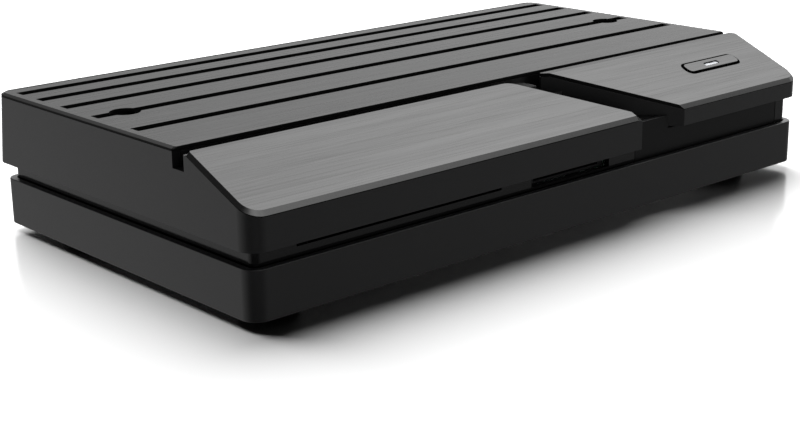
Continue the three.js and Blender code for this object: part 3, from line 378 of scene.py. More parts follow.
def foot_rubber(colours, sizes):
    """Nitrile rubber: matt, faintly dusty, with moulding grain."""
    return patterned(
        "nitrile rubber", colours.rubber, shade(colours.rubber, 1.6),
        grain=0.6 * MM, rough=(0.78, 0.86), relief=0.03 * MM, detail=3.0,
    )


def lit_guide(colours, sizes):
    """Light guide, lit from behind: an even white glow."""
    return patterned(
        "acrylic light guide, lit", shade(colours.light, 0.9), colours.light,
        grain=2 * MM, rough=(0.3, 0.4), Emission_Color=rgba(colours.light), Emission_Strength=0.1,
    )


def solder_mask(colours, sizes):
    """Green solder mask over copper: traces about half a millimetre wide show as lighter lines,
    which run between cells a few millimetres across."""
    material, tree, shader, place = new_material("solder mask on glass epoxy")
    cell = 3.2 * MM
    cells = add_node(
        tree, "ShaderNodeTexVoronoi", {"feature": "DISTANCE_TO_EDGE"},
        {"Vector": place, "Scale": 1 / cell},
    )
    lines = add_node(
        tree, "ShaderNodeMapRange", {},
        {"Value": cells.outputs["Distance"], "From Min": 0.05, "From Max": 0.09,
         "To Min": 1.0, "To Max": 0.0},
    ).outputs["Result"]
    mixed = add_node(
        tree, "ShaderNodeMix", {"data_type": "RGBA"},
        {"Factor": lines, "A": rgba(colours.mask), "B": rgba(colours.trace)},
    )
    tree.links.new(mixed.outputs["Result"], shader.inputs["Base Color"])
    bump = add_node(
        tree, "ShaderNodeBump", {}, {"Height": lines, "Strength": 0.3, "Distance": 0.03 * MM}
    )
    tree.links.new(bump.outputs["Normal"], shader.inputs["Normal"])
    set_shader(shader, Roughness=0.35)
    return material


def chip_epoxy(colours, sizes):
    """Moulded epoxy of chips and connector bodies: dark, even, faintly sparkling."""
    return patterned(
        "epoxy, moulded", colours.epoxy, shade(colours.epoxy, 1.5),
        grain=0.12 * MM, rough=(0.5, 0.6), relief=0.004 * MM, Specular_IOR_Level=0.3,
    )


def zinc_steel(colours, sizes):
    """Zinc plated steel sheet and screws: bright, with a rolled grain and small flecks."""
    return patterned(
        "steel, zinc plated", shade(colours.steel, 0.8), colours.steel,
        grain=(0.4 * MM, 6 * MM, 6 * MM), rough=(0.26, 0.38), detail=3.0, Metallic=1.0,
    )


def nickel_plate(colours, sizes):
    """Nickel plated brass and shielding: warm silver, smooth, slightly clouded."""
    return patterned(
        "brass, nickel plated", shade(colours.nickel, 0.86), colours.nickel,
        grain=4 * MM, rough=(0.18, 0.3), detail=3.0, Metallic=1.0,
    )


def gold_contact(colours, sizes):
    """Gold flash on contact springs: a warm yellow metal."""
    return patterned(
        "phosphor bronze, gold plated", shade(colours.gold, 0.85), colours.gold,
        grain=0.5 * MM, rough=(0.2, 0.3), Metallic=1.0,
    )


def powder_coat(colours, sizes):
    """Black powder coat on the steel rear panel: an orange-peel skin, about a millimetre across."""
    return patterned(
        "steel, powder coated", shade(colours.paint, 0.9), colours.paint,
        grain=0.9 * MM, rough=(0.44, 0.52), relief=0.02 * MM, detail=1.0,
    )


def silicone_pad(colours, sizes):
    """Silicone pad filled with ceramic powder: matt grey with grains."""
    return patterned(
        "silicone pad", shade(colours.pad, 0.8), colours.pad, grain=0.2 * MM, rough=(0.86, 0.94),
    )


def flat_cable(colours, sizes):
    """Polyester flat cable: pale, with soft grey stripes about 3 mm apart, which is far coarser
    than its conductors, so that they show."""
    material, tree, shader, place = new_material("polyester flat cable")
    radian = 0.5 * MM
    # A wave texture's bands turn by this many radians in each of its own units
    radians_per_unit = 20
    stripes = add_node(
        tree, "ShaderNodeTexWave", {"wave_type": "BANDS", "bands_direction": "X"},
        {"Vector": place, "Scale": 1 / radian / radians_per_unit, "Distortion": 0.0},
    )
    mixed = add_node(
        tree, "ShaderNodeMix", {"data_type": "RGBA"},
        {"Factor": stripes.outputs["Fac"], "A": rgba(shade(colours.cable, 0.6)), "B": rgba(colours.cable)},
    )
    tree.links.new(mixed.outputs["Result"], shader.inputs["Base Color"])
    set_shader(shader, Roughness=0.4)
    return material


def white_insulator(colours, sizes):
    """Moulded white insulator in the antenna connectors: waxy, not quite even."""
    return patterned(
        "polypropylene, moulded", shade(colours.insulator, 0.9), colours.insulator,
        grain=1.5 * MM, rough=(0.4, 0.5),
    )


MAKERS = {
    "brushed_dark": brushed_aluminium,
    "moulded_black": moulded_plastic,
    "inner_black": inner_plastic,
    "milled_dark": milled_aluminium,
    "painted_shade": painted_shade,
    "smoked_window": smoked_acrylic,
    "foot_rubber": foot_rubber,
    "light_guide": lit_guide,
    "board_green": solder_mask,
    "chip_black": chip_epoxy,
    "bright_steel": zinc_steel,
    "nickel_plate": nickel_plate,
    "gold_plate": gold_contact,
    "rear_paint": powder_coat,
    "thermal_grey": silicone_pad,
    "flat_cable": flat_cable,
    "white_insulator": white_insulator,
}
made_materials = {}


def material_for(finish):
    """The material of a finish, made when it is first asked for."""
    if finish not in made_materials:
        scene = bpy.context.scene
        made_materials[finish] = MAKERS[finish](scene.receiver_colours, scene.receiver_sizes)
    return made_materials[finish]


# Pieces


def new_piece(name, points, faces, finish, body):
    """A mesh object at the origin with a finish, moving with a body."""
    mesh = bpy.data.meshes.new(name)
    mesh.from_pydata(points, [], faces)
    mesh.materials.append(material_for(finish))
    mesh.shade_smooth()
    piece = bpy.data.objects.new(name, mesh)
    bpy.context.scene.collection.objects.link(piece)
    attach(piece, body)
    return piece


def round_edges(piece, width, crease):
    """Rounds the edges that turn by more than the crease angle, and keeps flat faces flat."""
    bevel = piece.modifiers.new("rounded edges", "BEVEL")
    bevel.width = width
    bevel.segments = 2
    bevel.limit_method = "ANGLE"
    bevel.angle_limit = crease
    bevel.use_clamp_overlap = True
    weighted = piece.modifiers.new("flat faces", "WEIGHTED_NORMAL")
    weighted.keep_sharp = True


def welded(node):
    """A CAD node's corner points without doubles, and its triangles."""
    source = nodes[node].data
    points = np.empty(len(source.vertices) * 3, np.float32)
    source.vertices.foreach_get("co", points)
    points = points.reshape(-1, 3)
    corners = np.empty(len(source.loops), np.int32)
    source.loops.foreach_get("vertex_index", corners)
    _, first, same = np.unique(
        np.round(points / WELD).astype(np.int64), axis=0, return_index=True, return_inverse=True
    )
    return points[first], same.ravel()[corners].reshape(-1, 3)


# Shorter edges go, and faces that meet at less than this angle become one
SHORT_EDGE = 0.003 * MM
FLAT_ANGLE = math.radians(1.5)


def refine(node, width, finish=None):
    """A copy of a CAD node with its flat faces whole and its edges rounded. It stands for the node."""
    points, triangles = welded(node)
    piece = new_piece(
        f"{node}_finished", points, triangles.tolist(), finish or slot_of[node], body_of[node]
    )
    work = bmesh.new()
    work.from_mesh(piece.data)
    bmesh.ops.dissolve_degenerate(work, edges=work.edges, dist=SHORT_EDGE)
    bmesh.ops.dissolve_limit(work, angle_limit=FLAT_ANGLE, verts=work.verts, edges=work.edges)
    work.to_mesh(piece.data)
    work.free()
    round_edges(piece, width, bpy.context.scene.receiver_sizes.crease)
    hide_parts(node)
    return piece


# A face that leans from a way up by less than the first angle is a top, and one that leans by
# more than the second is upright
TOP_LEAN = math.radians(8)
SIDE_LEAN = math.radians(62)


def heights_and_facing(piece, axis, ways_up):
    """The height of each face's centre along an axis, and the cosine of the angle between the
    face's normal and the nearest of the ways up."""
    centres = np.empty(len(piece.data.polygons) * 3, np.float32)
    normals = np.empty_like(centres)
    piece.data.polygons.foreach_get("center", centres)
    piece.data.polygons.foreach_get("normal", normals)
    facing = normals.reshape(-1, 3) @ np.array(ways_up).T
    return centres.reshape(-1, 3) @ np.array(axis), facing.max(axis=1)


def finish_faces(piece, ways_up, depth):
    """Brushed where a face looks one of the ways up, black where it is nearly upright or lies
    deeper than the piece's top by more than the depth, and milled on the chamfer between. The
    black is painted shade."""
    height, facing = heights_and_facing(piece, ways_up[-1], ways_up)
    top = facing > math.cos(TOP_LEAN)
    upright = facing < math.cos(SIDE_LEAN)
    deep = height < height.max() - depth
    # The piece's own finish comes first among its materials
    brushed, milled, black = range(3)
    index = np.where(top, brushed, milled)
    # Painted shade: upright and deep faces get the black finish
    index[upright | deep] = black
    for finish in ("milled_dark", "painted_shade"):
        piece.data.materials.append(material_for(finish))
    piece.data.polygons.foreach_set("material_index", index.astype(np.int32))


def darken(piece, axis, low, high, ways_up):
    """Painted shade: black on the faces between two heights along an axis that look one of the ways up.
    The mesh is first cut at the lower height, so the black starts on a straight line."""
    work = bmesh.new()
    work.from_mesh(piece.data)
    bmesh.ops.bisect_plane(
        work, geom=work.verts[:] + work.edges[:] + work.faces[:], dist=WELD,
        plane_co=axis * low, plane_no=axis,
    )
    work.to_mesh(piece.data)
    work.free()
    shade_paint = material_for("painted_shade")
    if shade_paint.name not in piece.data.materials:
        piece.data.materials.append(shade_paint)
    height, facing = heights_and_facing(piece, axis, ways_up)
    index = np.empty(len(height), np.int32)
    piece.data.polygons.foreach_get("material_index", index)
    top = facing > math.cos(TOP_LEAN)
    index[top & (low < height) & (height < high)] = piece.data.materials.find(shade_paint.name)
    piece.data.polygons.foreach_set("material_index", index)


def ring_faces(rings, sides, closed):
    """Quads between rings of points, where each ring has the same number of sides."""
    ring = np.arange(rings if closed else rings - 1)[:, None]
    side = np.arange(sides)[None, :]
    after = (ring + 1) % rings
    beside = (side + 1) % sides
    quads = np.stack(
        (ring * sides + side, ring * sides + beside, after * sides + beside, after * sides + side),
        axis=-1,
    )
    return quads.reshape(-1, 4).tolist()


def ring_piece(name, rings, finish, body, closed=False):
    """A surface through rings of points, shape (rings, sides, 3). Its ends are flat faces, or
    they meet each other where it is closed."""
    count, sides, _ = rings.shape
    faces = ring_faces(count, sides, closed)
    if not closed:
        faces.append(list(range(sides))[::-1])
        faces.append(list(range((count - 1) * sides, count * sides)))
    return new_piece(name, rings.reshape(-1, 3), faces, finish, body)


def quarter(centre, radius, start, steps):
    """Points of a quarter circle in the profile plane, from a start angle in degrees."""
    turn = np.radians(np.linspace(start, start + 90, steps + 1))
    return [(centre[0] + radius * math.cos(t), centre[1] + radius * math.sin(t)) for t in turn]


def turned_rings(profile, sides):
    """A profile of (radius, height) turned about Z: x = r cos t, y = r sin t, z = h."""
    radius, height = np.array(profile, float).T
    turn = np.linspace(0, 2 * np.pi, sides, endpoint=False)
    return np.stack(
        (
            radius[:, None] * np.cos(turn),
            radius[:, None] * np.sin(turn),
            np.repeat(height[:, None], sides, axis=1),
        ),
        axis=-1,
    )


def placed(rings, matrix):
    """Rings moved by a 4 x 4 matrix."""
    turn = np.array(matrix)[:3, :3]
    move = np.array(matrix)[:3, 3]
    return rings @ turn.T + move


def centre_of(node):
    """Middle of a CAD node's box, and its size."""
    low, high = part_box(node)
    return (low + high) / 2, high - low


# Where the flat end of a turned piece starts, as a share of its radius
CORE_SHARE = 0.3


# Feet


# The dish's radius as a share of the foot's, the points of its profile as shares of that radius
# and of its depth, and the upper lip as a share of the lower one
DISH_RADIUS_SHARE = 0.45
DISH_SHARES = ((0.3, 1.0), (0.8, 0.9), (1.0, 0.3), (1.08, 0.0))
TOP_LIP_SHARE = 0.4


def foot_rings(radius, height, lip, dish, sides):
    """Turned profile: a dish in the middle of the sole, a flat sole, a rounded rim, an upright side."""
    dish_radius = radius * DISH_RADIUS_SHARE
    top_lip = lip * TOP_LIP_SHARE
    profile = [(dish_radius * out, dish * up) for out, up in DISH_SHARES]
    profile += quarter((radius - lip, lip), lip, start=-90, steps=8)
    profile += quarter((radius - top_lip, height - top_lip), top_lip, start=0, steps=5)
    profile += [(radius * CORE_SHARE, height)]
    return turned_rings(profile, sides)


def make_foot(node, sizes):
    """One rubber foot in the place of its CAD node."""
    middle, size = centre_of(node)
    rings = foot_rings(size.x / 2, size.z, sizes.foot_lip, sizes.foot_dish, sizes.turned_sides)
    place = Matrix.Translation((middle.x, middle.y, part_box(node)[0].z))
    piece = ring_piece(f"{node}_rubber", placed(rings, place), "foot_rubber", body_of[node])
    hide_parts(node)


# Screws


# Shares of the head's radius
HEAD_HEIGHT_SHARE = 0.68
LOW_HEAD_HEIGHT_SHARE = 0.5
SHANK_RADIUS_SHARE = 0.53
CROSS_REACH_SHARE = 0.62
CROSS_HALF_WIDTH_SHARE = 0.13
# Shares of the head's height, and of its rim for the step under the head
RIM_SHARE = 0.35
CROSS_DEPTH_SHARE = 0.6
UNDERSIDE_SHARE = 0.2
# Shares of the cross's half width and reach, over which its sides and ends fall
SOFT_SIDE_SHARE = 0.5
SOFT_END_SHARE = 0.25
# Points of the shank's tip as shares of its radius, and rings of the crown as shares of its own
TIP_SHARES = ((0.2, 0.0), (0.8, 0.0), (1.0, 0.3))
CROWN_SHARES = np.linspace(0.9, 0.02, 26)


def cross_recess(x, y, reach, half_width):
    """One inside a cross of two bars with soft sides, falling to nothing outside it."""
    across = np.minimum(np.abs(x), np.abs(y))
    along = np.maximum(np.abs(x), np.abs(y))
    side = half_width * SOFT_SIDE_SHARE
    inside = np.clip((half_width + side / 2 - across) / side, 0, 1)
    within = np.clip((reach - along) / (reach * SOFT_END_SHARE), 0, 1)
    return inside * within


def screw_rings(head_radius, head_height, shank_radius, shank_length, sides):
    """Shank, flat under-head, rounded rim, and a crown with a cross recess as a height over (x, y)."""
    rim = head_height * RIM_SHARE
    profile = [(shank_radius * out, shank_radius * up - shank_length) for out, up in TIP_SHARES]
    profile += [(shank_radius, 0.0), (head_radius - rim * UNDERSIDE_SHARE, 0.0)]
    profile += quarter((head_radius - rim, head_height - rim), rim, start=0, steps=5)
    profile += [(share * (head_radius - rim), head_height) for share in CROWN_SHARES]
    rings = turned_rings(profile, sides)
    top = rings[-len(CROWN_SHARES) :]
    cross = cross_recess(
        top[..., 0], top[..., 1],
        head_radius * CROSS_REACH_SHARE, head_radius * CROSS_HALF_WIDTH_SHARE,
    )
    top[..., 2] -= cross * head_height * CROSS_DEPTH_SHARE
    return rings


def make_screw(node, sizes):
    """One pan-head screw with a cross recess in the place of its CAD node. Wing screws have a
    lower head."""
    middle, size = centre_of(node)
    head_radius = size.x / 2
    share = LOW_HEAD_HEIGHT_SHARE if node.startswith("wing") else HEAD_HEIGHT_SHARE
    head_height = head_radius * share
    rings = screw_rings(
        head_radius, head_height, head_radius * SHANK_RADIUS_SHARE, size.z - head_height,
        sizes.turned_sides,
    )
    place = Matrix.Translation((middle.x, middle.y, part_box(node)[1].z - head_height))
    piece = ring_piece(f"{node}_recessed", placed(rings, place), "bright_steel", body_of[node])
    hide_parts(node)


# Antenna connectors


# The barrel's radius as a share of the collar's, the bore's as a share of the barrel's, and the
# slope at the mouth as a share of the edge
BARREL_SHARE = 0.85
BORE_SHARE = 0.72
MOUTH_SHARE = 0.3
# The insulator's rim and shoulder as shares of the bore, its funnel as a share of the hole, and
# the depths of its profile's six points as shares of its drop
INSULATOR_RIM_SHARE = 0.97
SHOULDER_SHARE = 0.9
FUNNEL_SHARE = 2.4
DEPTH_SHARES = np.array((2, 2, 1, 0.8, 0.7, 1.3))
# Rings of points in one turn of the thread
RINGS_PER_TURN = 10


def thread_rings(radius, depth, pitch, start, end, sides):
    """Screw thread: radius falls by depth times a triangle wave of (height / pitch - turn)."""
    steps = int(math.ceil((end - start) / pitch * RINGS_PER_TURN))
    height = np.linspace(start, end, steps)[:, None]
    turn = np.linspace(0, 2 * np.pi, sides, endpoint=False)[None, :]
    wave = np.abs(((height / pitch - turn / (2 * np.pi)) % 1) * 2 - 1)
    fade = np.clip((height - start) / pitch, 0, 1) * np.clip((end - height) / pitch, 0, 1)
    r = radius - depth * (1 - wave * fade)
    z = np.repeat(height, sides, axis=1)
    return np.stack((r * np.cos(turn), r * np.sin(turn), z), axis=-1)


def make_connector(node, sizes):
    """A threaded antenna connector with its insulator, lying along Y. Its profile runs from the
    collar's back over the thread, round the mouth and down the bore to its floor."""
    middle, size = centre_of(node)
    sides = sizes.turned_sides
    edge = sizes.connector_edge
    collar = sizes.collar
    collar_radius = size.x / 2
    barrel = collar_radius * BARREL_SHARE
    core = barrel - sizes.thread_depth
    bore = barrel * BORE_SHARE
    reach = size.y
    floor = reach - 2 * sizes.insulator_drop - edge
    gap = edge / 4
    slope = edge * MOUTH_SHARE
    base = [(collar_radius * CORE_SHARE, 0.0)]
    base += quarter((collar_radius - edge, edge), edge, start=-90, steps=3)
    base += quarter((collar_radius - edge, collar - edge), edge, start=0, steps=3)
    base += [(core, collar + gap)]
    thread = thread_rings(
        barrel, sizes.thread_depth, sizes.thread_pitch, collar + 2 * gap, reach - 2 * edge, sides
    )
    mouth = [(core - slope, reach - slope), (core - edge, reach), (bore + edge, reach)]
    mouth += [(bore, reach - edge), (bore, floor), (bore * CORE_SHARE, floor)]
    rings = np.concatenate((turned_rings(base, sides), thread, turned_rings(mouth, sides)))
    place = Matrix.Translation((middle.x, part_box(node)[0].y, middle.z))
    place @= Matrix.Rotation(-math.pi / 2, 4, "X")
    piece = ring_piece(f"{node}_threaded", placed(rings, place), "nickel_plate", body_of[node])
    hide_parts(node)
    hole = sizes.insulator_hole
    rim = bore * INSULATOR_RIM_SHARE
    radii = (hole, rim, rim, bore * SHOULDER_SHARE, hole * FUNNEL_SHARE, hole)
    disc = list(zip(radii, reach - sizes.insulator_drop * DEPTH_SHARES))
    insulator = ring_piece(
        f"{node}_insulator", placed(turned_rings(disc, sides), place), "white_insulator",
        body_of[node], closed=True,
    )


# Contacts in the sockets


# The rounding of a flat contact as a share of its thickness, and the angle past which it is made
BAR_EDGE_SHARE = 0.2
BAR_CREASE = math.radians(30)
# The power by which a network contact's height falls along it
CONTACT_POWER = 1.5
# The data socket's tongues: the height of each underside as a share of the socket's, and the
# contacts' place from the mouth and their length as shares of its depth
TONGUE_SHARES = (0.316, 0.707)
TONGUE_PLACE_SHARE = 0.25
TONGUE_LENGTH_SHARE = 0.35


def spaced(middle, count, pitch):
    """Places a pitch apart on both sides of a middle."""
    return middle + (np.arange(count) - (count - 1) / 2) * pitch


def bar_piece(name, centres, size, finish, body):
    """Many small bars of one size in one mesh: the eight corners are added to each centre."""
    signs = np.array([(x, y, z) for x in (-1, 1) for y in (-1, 1) for z in (-1, 1)])
    corners = np.asarray(centres)[:, None, :] + signs[None] * np.asarray(size) / 2
    quads = np.array(
        [(0, 1, 3, 2), (4, 6, 7, 5), (0, 4, 5, 1), (2, 3, 7, 6), (0, 2, 6, 4), (1, 5, 7, 3)]
    )
    faces = quads[None] + len(signs) * np.arange(len(corners))[:, None, None]
    piece = new_piece(name, corners.reshape(-1, 3), faces.reshape(-1, 4).tolist(), finish, body)
    round_edges(piece, min(size) * BAR_EDGE_SHARE, BAR_CREASE)
    return piece


def spring_contacts(name, starts, path, width, thickness, finish, body):
    """Bent wires side by side: a flat section carried along a path in the YZ plane."""
    along = np.gradient(path, axis=0)
    along /= np.linalg.norm(along, axis=1)[:, None]
    across = np.stack((-along[:, 1], along[:, 0]), axis=1) * thickness / 2
    outline = np.concatenate((path + across, (path - across)[::-1]))
    count = len(outline)
    side = np.arange(count)
    beside = (side + 1) % count
    points = []
    faces = []
    for i, start in enumerate(starts):
        low = np.column_stack((np.full(count, start - width / 2), outline))
        high = np.column_stack((np.full(count, start + width / 2), outline))
        points.append(np.concatenate((low, high)))
        first = i * 2 * count
        quads = np.stack((side, side + count, beside + count, beside), axis=1) + first
        faces += quads.tolist()
        faces.append((side + first).tolist())
        faces.append((side[::-1] + first + count).tolist())
    return new_piece(name, np.concatenate(points), faces, finish, body)


def make_network_contacts(sizes):
    """Eight springs that sink on their way into the network socket: the drop grows with the
    length to a power."""
    low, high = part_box("network_socket")
    starts = spaced((low.x + high.x) / 2, count=8, pitch=sizes.contact_pitch)
    share = np.linspace(0, 1, num=14)
    path = np.column_stack(
        (
            high.y - sizes.contact_inset - share * sizes.contact_reach,
            low.z + sizes.contact_height - sizes.contact_drop * share**CONTACT_POWER,
        )
    )
    contacts = spring_contacts(
        "network_contacts", starts, path, sizes.contact_width, sizes.contact_thickness,
        "gold_plate", "case",
    )


def make_data_contacts(sizes):
    """Four flat contacts under each tongue of the data socket."""
    low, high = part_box("data_socket")
    size = high - low
    centres = [
        (x, high.y - size.y * TONGUE_PLACE_SHARE, low.z + size.z * share)
        for share in TONGUE_SHARES
        for x in spaced((low.x + high.x) / 2, count=4, pitch=sizes.contact_pitch * 2)
    ]
    section = (sizes.tongue_width, size.y * TONGUE_LENGTH_SHARE, sizes.tongue_thickness)
    bars = bar_piece("data_contacts", centres, section, "gold_plate", "case")


# Stage


def make_floor(colours):
    """A wide flat floor of glossy white laminate under the feet, which mirrors don't see."""
    reach = 6.0
    count = 3
    steps = np.linspace(-reach, reach, count)
    x, y = np.meshgrid(steps, steps, indexing="ij")
    points = np.stack((x, y, np.zeros_like(x)), axis=-1).reshape(-1, 3)
    cells = np.arange(count - 1)
    first = (cells[:, None] * count + cells[None, :]).ravel()
    faces = np.stack((first, first + count, first + count + 1, first + 1), axis=1).tolist()
    mesh = bpy.data.meshes.new("floor")
    mesh.from_pydata(points, [], faces)
    floor = bpy.data.objects.new("floor", mesh)
    bpy.context.scene.collection.objects.link(floor)
    laminate = patterned(
        "laminate, glossy white", shade(colours.floor, 0.99), colours.floor,
        grain=300 * MM, rough=(0.14, 0.18), detail=1.0, Specular_IOR_Level=0.5,
    )
    mesh.materials.append(laminate)
    floor.visible_glossy = False


def make_sky(scene, studio):
    """Studio walls as a sky: dim, with soft glows. Each glow falls smoothly to nothing as the
    cosine of the angle from its middle falls to that of its spread. Matt surfaces take a small
    share of the walls' light, and the walls aren't sampled as a light, so shadows stay dark."""
    world = bpy.data.worlds.new("studio walls")
    world.use_nodes = True
    tree = world.node_tree
    tree.nodes.clear()
    place = add_node(tree, "ShaderNodeTexCoord", {}, {})
    light = studio.ambient
    for azimuth, elevation, spread, brightness in GLOWS:
        turn = math.radians(azimuth)
        rise = math.radians(elevation)
        middle = (
            math.sin(turn) * math.cos(rise), math.cos(turn) * math.cos(rise), math.sin(rise)
        )
        near = add_node(
            tree, "ShaderNodeVectorMath", {"operation": "DOT_PRODUCT"},
            {0: place.outputs["Generated"], 1: middle},
        )
        glow = add_node(
            tree, "ShaderNodeMapRange", {"interpolation_type": "SMOOTHSTEP"},
            {"Value": near.outputs["Value"], "From Min": math.cos(math.radians(spread)),
             "To Max": brightness},
        )
        light = add_node(
            tree, "ShaderNodeMath", {"operation": "ADD"}, {0: light, 1: glow.outputs["Result"]}
        ).outputs["Value"]
    rays = add_node(tree, "ShaderNodeLightPath", {}, {})
    spill = add_node(
        tree, "ShaderNodeMapRange", {},
        {"Value": rays.outputs["Diffuse Depth"], "To Min": 1.0, "To Max": studio.spill},
    )
    strength = add_node(
        tree, "ShaderNodeMath", {"operation": "MULTIPLY"}, {0: light, 1: spill.outputs["Result"]}
    )
    background = add_node(
        tree, "ShaderNodeBackground", {},
        {"Color": (1, 1, 1, 1), "Strength": strength.outputs["Value"]},
    )
    add_node(tree, "ShaderNodeOutputWorld", {}, {"Surface": background.outputs["Background"]})
    world.cycles.sampling_method = "NONE"
    scene.world = world


def make_overhead(studio):
    """A wide soft light, high up behind and to the right, aimed at the receiver: it whitens the
    floor and lets the shadow fall to the front. It isn't mirrored in the plates."""
    data = bpy.data.lights.new("overhead", "AREA")
    data.shape = "DISK"
    data.size = studio.overhead_size
    data.energy = studio.overhead
    light = bpy.data.objects.new("overhead", data)
    light.location = (studio.overhead_right, studio.overhead_back, studio.overhead_height)
    light.rotation_mode = "QUATERNION"
    light.rotation_quaternion = light.location.to_track_quat("Z", "Y")
    light.visible_glossy = False
    bpy.context.scene.collection.objects.link(light)


def make_camera(scene, studio):
    """The camera at the photograph's viewing angle, from its azimuth, elevation, roll and distance."""
    turn = studio.azimuth
    rise = studio.elevation
    back = Vector(
        (math.sin(turn) * math.cos(rise), -math.cos(turn) * math.cos(rise), math.sin(rise))
    )
    right = Vector((math.cos(turn), math.sin(turn), 0))
    up = back.cross(right)
    aim = Vector((0, studio.aim_y, studio.aim_z))
    place = aim + back * studio.distance + right * studio.slide + up * studio.lift
    turned_right = right * math.cos(studio.roll) + up * math.sin(studio.roll)
    turned_up = up * math.cos(studio.roll) - right * math.sin(studio.roll)
    data = bpy.data.cameras.new("camera")
    data.sensor_width = 36
    data.lens = studio.lens
    data.shift_x = studio.shift_x
    data.shift_y = studio.shift_y
    data.clip_start = 0.01
    data.clip_end = 50
    camera = bpy.data.objects.new("camera", data)
    scene.collection.objects.link(camera)
    camera.matrix_world = Matrix.Translation(place) @ Matrix(
        (turned_right, turned_up, back)
    ).transposed().to_4x4()
    scene.camera = camera


# Operators


class RECEIVER_OT_finishes(bpy.types.Operator):
    """Give every CAD node that stays the finish of its material slot"""

    bl_idname = "receiver.finishes"
    bl_label = "Finish the CAD pieces"

    def execute(self, context):
        """Puts each node's material in its object's slot."""
        for name, node in nodes.items():
            if node.material_slots:
                node.material_slots[0].link = "OBJECT"
                node.material_slots[0].material = material_for(slot_of[name])
        return {"FINISHED"}


class RECEIVER_OT_case(bpy.types.Operator):
    """Round the edges of the tray, frame, shell, wing housing, window and rear panel"""

    bl_idname = "receiver.case"
    bl_label = "Finish the case"

    def execute(self, context):
        """Refines each moulded or pressed case piece, and paints shade black on the shell's upward faces near its
        top.
        """
        sizes = context.scene.receiver_sizes
        for node in ("base_tray", "wing_housing"):
            refine(node, sizes.case_edge)
        shell = refine("upper_shell", sizes.case_edge)
        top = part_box("upper_shell")[1].z
        # Painted shade: the shell's upward faces near its top turn black
        darken(shell, UP, top - sizes.ledge_drop, top, (slope_up, UP))
        # The inner frame's darker colour is painted shade in the recess
        refine("inner_frame", sizes.case_edge, "inner_black")
        refine("infrared_window", sizes.case_edge)
        refine("rear_panel", sizes.plate_edge)
        return {"FINISHED"}


class RECEIVER_OT_plates(bpy.types.Operator):
    """Make the three brushed plates with fine rounded edges"""

    bl_idname = "receiver.plates"
    bl_label = "Finish the brushed plates"

    def execute(self, context):
        """Refines the deck, the left front panel and the wing plate, and paints a black line of shade along the
        deck's rear edge.
        """
        sizes = context.scene.receiver_sizes
        for node in ("deck_plate", "left_front_panel", "wing_plate"):
            plate = refine(node, sizes.plate_edge)
            low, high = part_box(node)
            # Painted shade: the plates' upright edges turn black
            finish_faces(plate, (slope_up, UP), high.z - low.z)
            if node == "deck_plate":
                # Painted shade: a black line along the deck's rear edge
                darken(plate, Vector((0, 1, 0)), high.y - sizes.rear_line, high.y, (UP,))
        return {"FINISHED"}


class RECEIVER_OT_button(bpy.types.Operator):
    """Make the power button's cap and its light bar"""

    bl_idname = "receiver.button"
    bl_label = "Finish the power button"

    def execute(self, context):
        """Refines the cap and the light bar, which both ride on the button."""
        sizes = context.scene.receiver_sizes
        cap = refine("power_button", sizes.button_edge)
        # Painted shade: the cap's sides below its brushed top turn black
        finish_faces(cap, (slope_up,), sizes.cap_depth)
        refine("button_light_bar", sizes.socket_edge)
        return {"FINISHED"}


class RECEIVER_OT_feet(bpy.types.Operator):
    """Make the four rubber feet"""

    bl_idname = "receiver.feet"
    bl_label = "Make the feet"

    def execute(self, context):
        """Turns a foot for each foot node."""
        sizes = context.scene.receiver_sizes
        for node in sorted(nodes):
            if node.startswith("foot_"):
                make_foot(node, sizes)
        return {"FINISHED"}


class RECEIVER_OT_screws(bpy.types.Operator):
    """Make the cover, wing and board screws"""

    bl_idname = "receiver.screws"
    bl_label = "Make the screws"

    def execute(self, context):
        """Makes a screw with a cross recess for each screw node."""
        sizes = context.scene.receiver_sizes
        for node in sorted(nodes):
            if "screw" in node:
                make_screw(node, sizes)
        return {"FINISHED"}


class RECEIVER_OT_connectors(bpy.types.Operator):
    """Make the two threaded antenna connectors"""

    bl_idname = "receiver.connectors"
    bl_label = "Make the antenna connectors"

    def execute(self, context):
        """Makes a threaded barrel and an insulator for each connector node."""
        sizes = context.scene.receiver_sizes
        for node in ("antenna_connector_1", "antenna_connector_2"):
            make_connector(node, sizes)
        return {"FINISHED"}


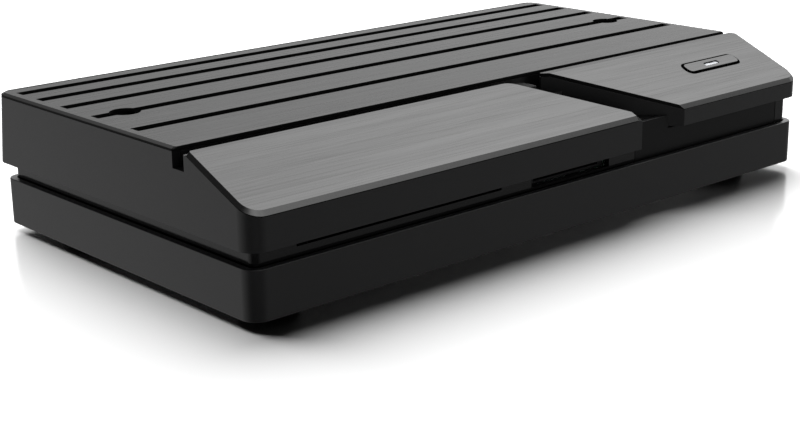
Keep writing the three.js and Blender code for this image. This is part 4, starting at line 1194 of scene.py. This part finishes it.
class RECEIVER_OT_sockets(bpy.types.Operator):
    """Finish the rear sockets and add their contacts"""

    bl_idname = "receiver.sockets"
    bl_label = "Finish the rear sockets"

    def execute(self, context):
        """Refines the sockets, and adds the network contacts and those under the data tongues."""
        sizes = context.scene.receiver_sizes
        names = ["network_socket", "data_socket", "optical_socket", "power_inlet"]
        names += ["video_socket_1", "video_socket_2", "tuner_can_1", "tuner_can_2"]
        for node in names:
            refine(node, sizes.socket_edge)
        refine("optical_shutter", sizes.plate_edge)
        make_network_contacts(sizes)
        make_data_contacts(sizes)
        return {"FINISHED"}


class RECEIVER_OT_stage(bpy.types.Operator):
    """Set up the pale floor, the soft light and the camera"""

    bl_idname = "receiver.stage"
    bl_label = "Set up the stage"

    def execute(self, context):
        """Makes the floor, the sky, the overhead light and the camera, and shows plain colours."""
        scene = context.scene
        studio = scene.receiver_studio
        make_floor(scene.receiver_colours)
        make_sky(scene, studio)
        make_overhead(studio)
        make_camera(scene, studio)
        scene.view_settings.view_transform = "Standard"
        return {"FINISHED"}


class RECEIVER_PT_pieces(bpy.types.Panel):
    """Lists the operators in the order that they run"""

    bl_idname = "RECEIVER_PT_pieces"
    bl_label = "Receiver"
    bl_space_type = "VIEW_3D"
    bl_region_type = "UI"
    bl_category = "Receiver"

    def draw(self, context):
        """One button for each operator."""
        for operator in OPERATORS:
            self.layout.operator(operator.bl_idname)


OPERATORS = (
    RECEIVER_OT_stage,
    RECEIVER_OT_finishes,
    RECEIVER_OT_case,
    RECEIVER_OT_plates,
    RECEIVER_OT_button,
    RECEIVER_OT_feet,
    RECEIVER_OT_screws,
    RECEIVER_OT_connectors,
    RECEIVER_OT_sockets,
)
GROUPS = {
    "receiver_sizes": ReceiverSizes,
    "receiver_colours": ReceiverColours,
    "receiver_studio": ReceiverStudio,
}


def register():
    """Registers the property groups, operators and panel."""
    for name, group in GROUPS.items():
        bpy.utils.register_class(group)
        setattr(bpy.types.Scene, name, PointerProperty(type=group))
    for made in (*OPERATORS, RECEIVER_PT_pieces):
        bpy.utils.register_class(made)


def unregister():
    """Takes the classes and properties away again."""
    for made in reversed((*OPERATORS, RECEIVER_PT_pieces)):
        bpy.utils.unregister_class(made)
    for name, group in GROUPS.items():
        delattr(bpy.types.Scene, name)
        bpy.utils.unregister_class(group)


def main():
    """Registers everything and makes the pieces in order."""
    register()
    for operator in OPERATORS:
        group, name = operator.bl_idname.split(".")
        getattr(getattr(bpy.ops, group), name)()


if __name__ == "__main__":
    main()
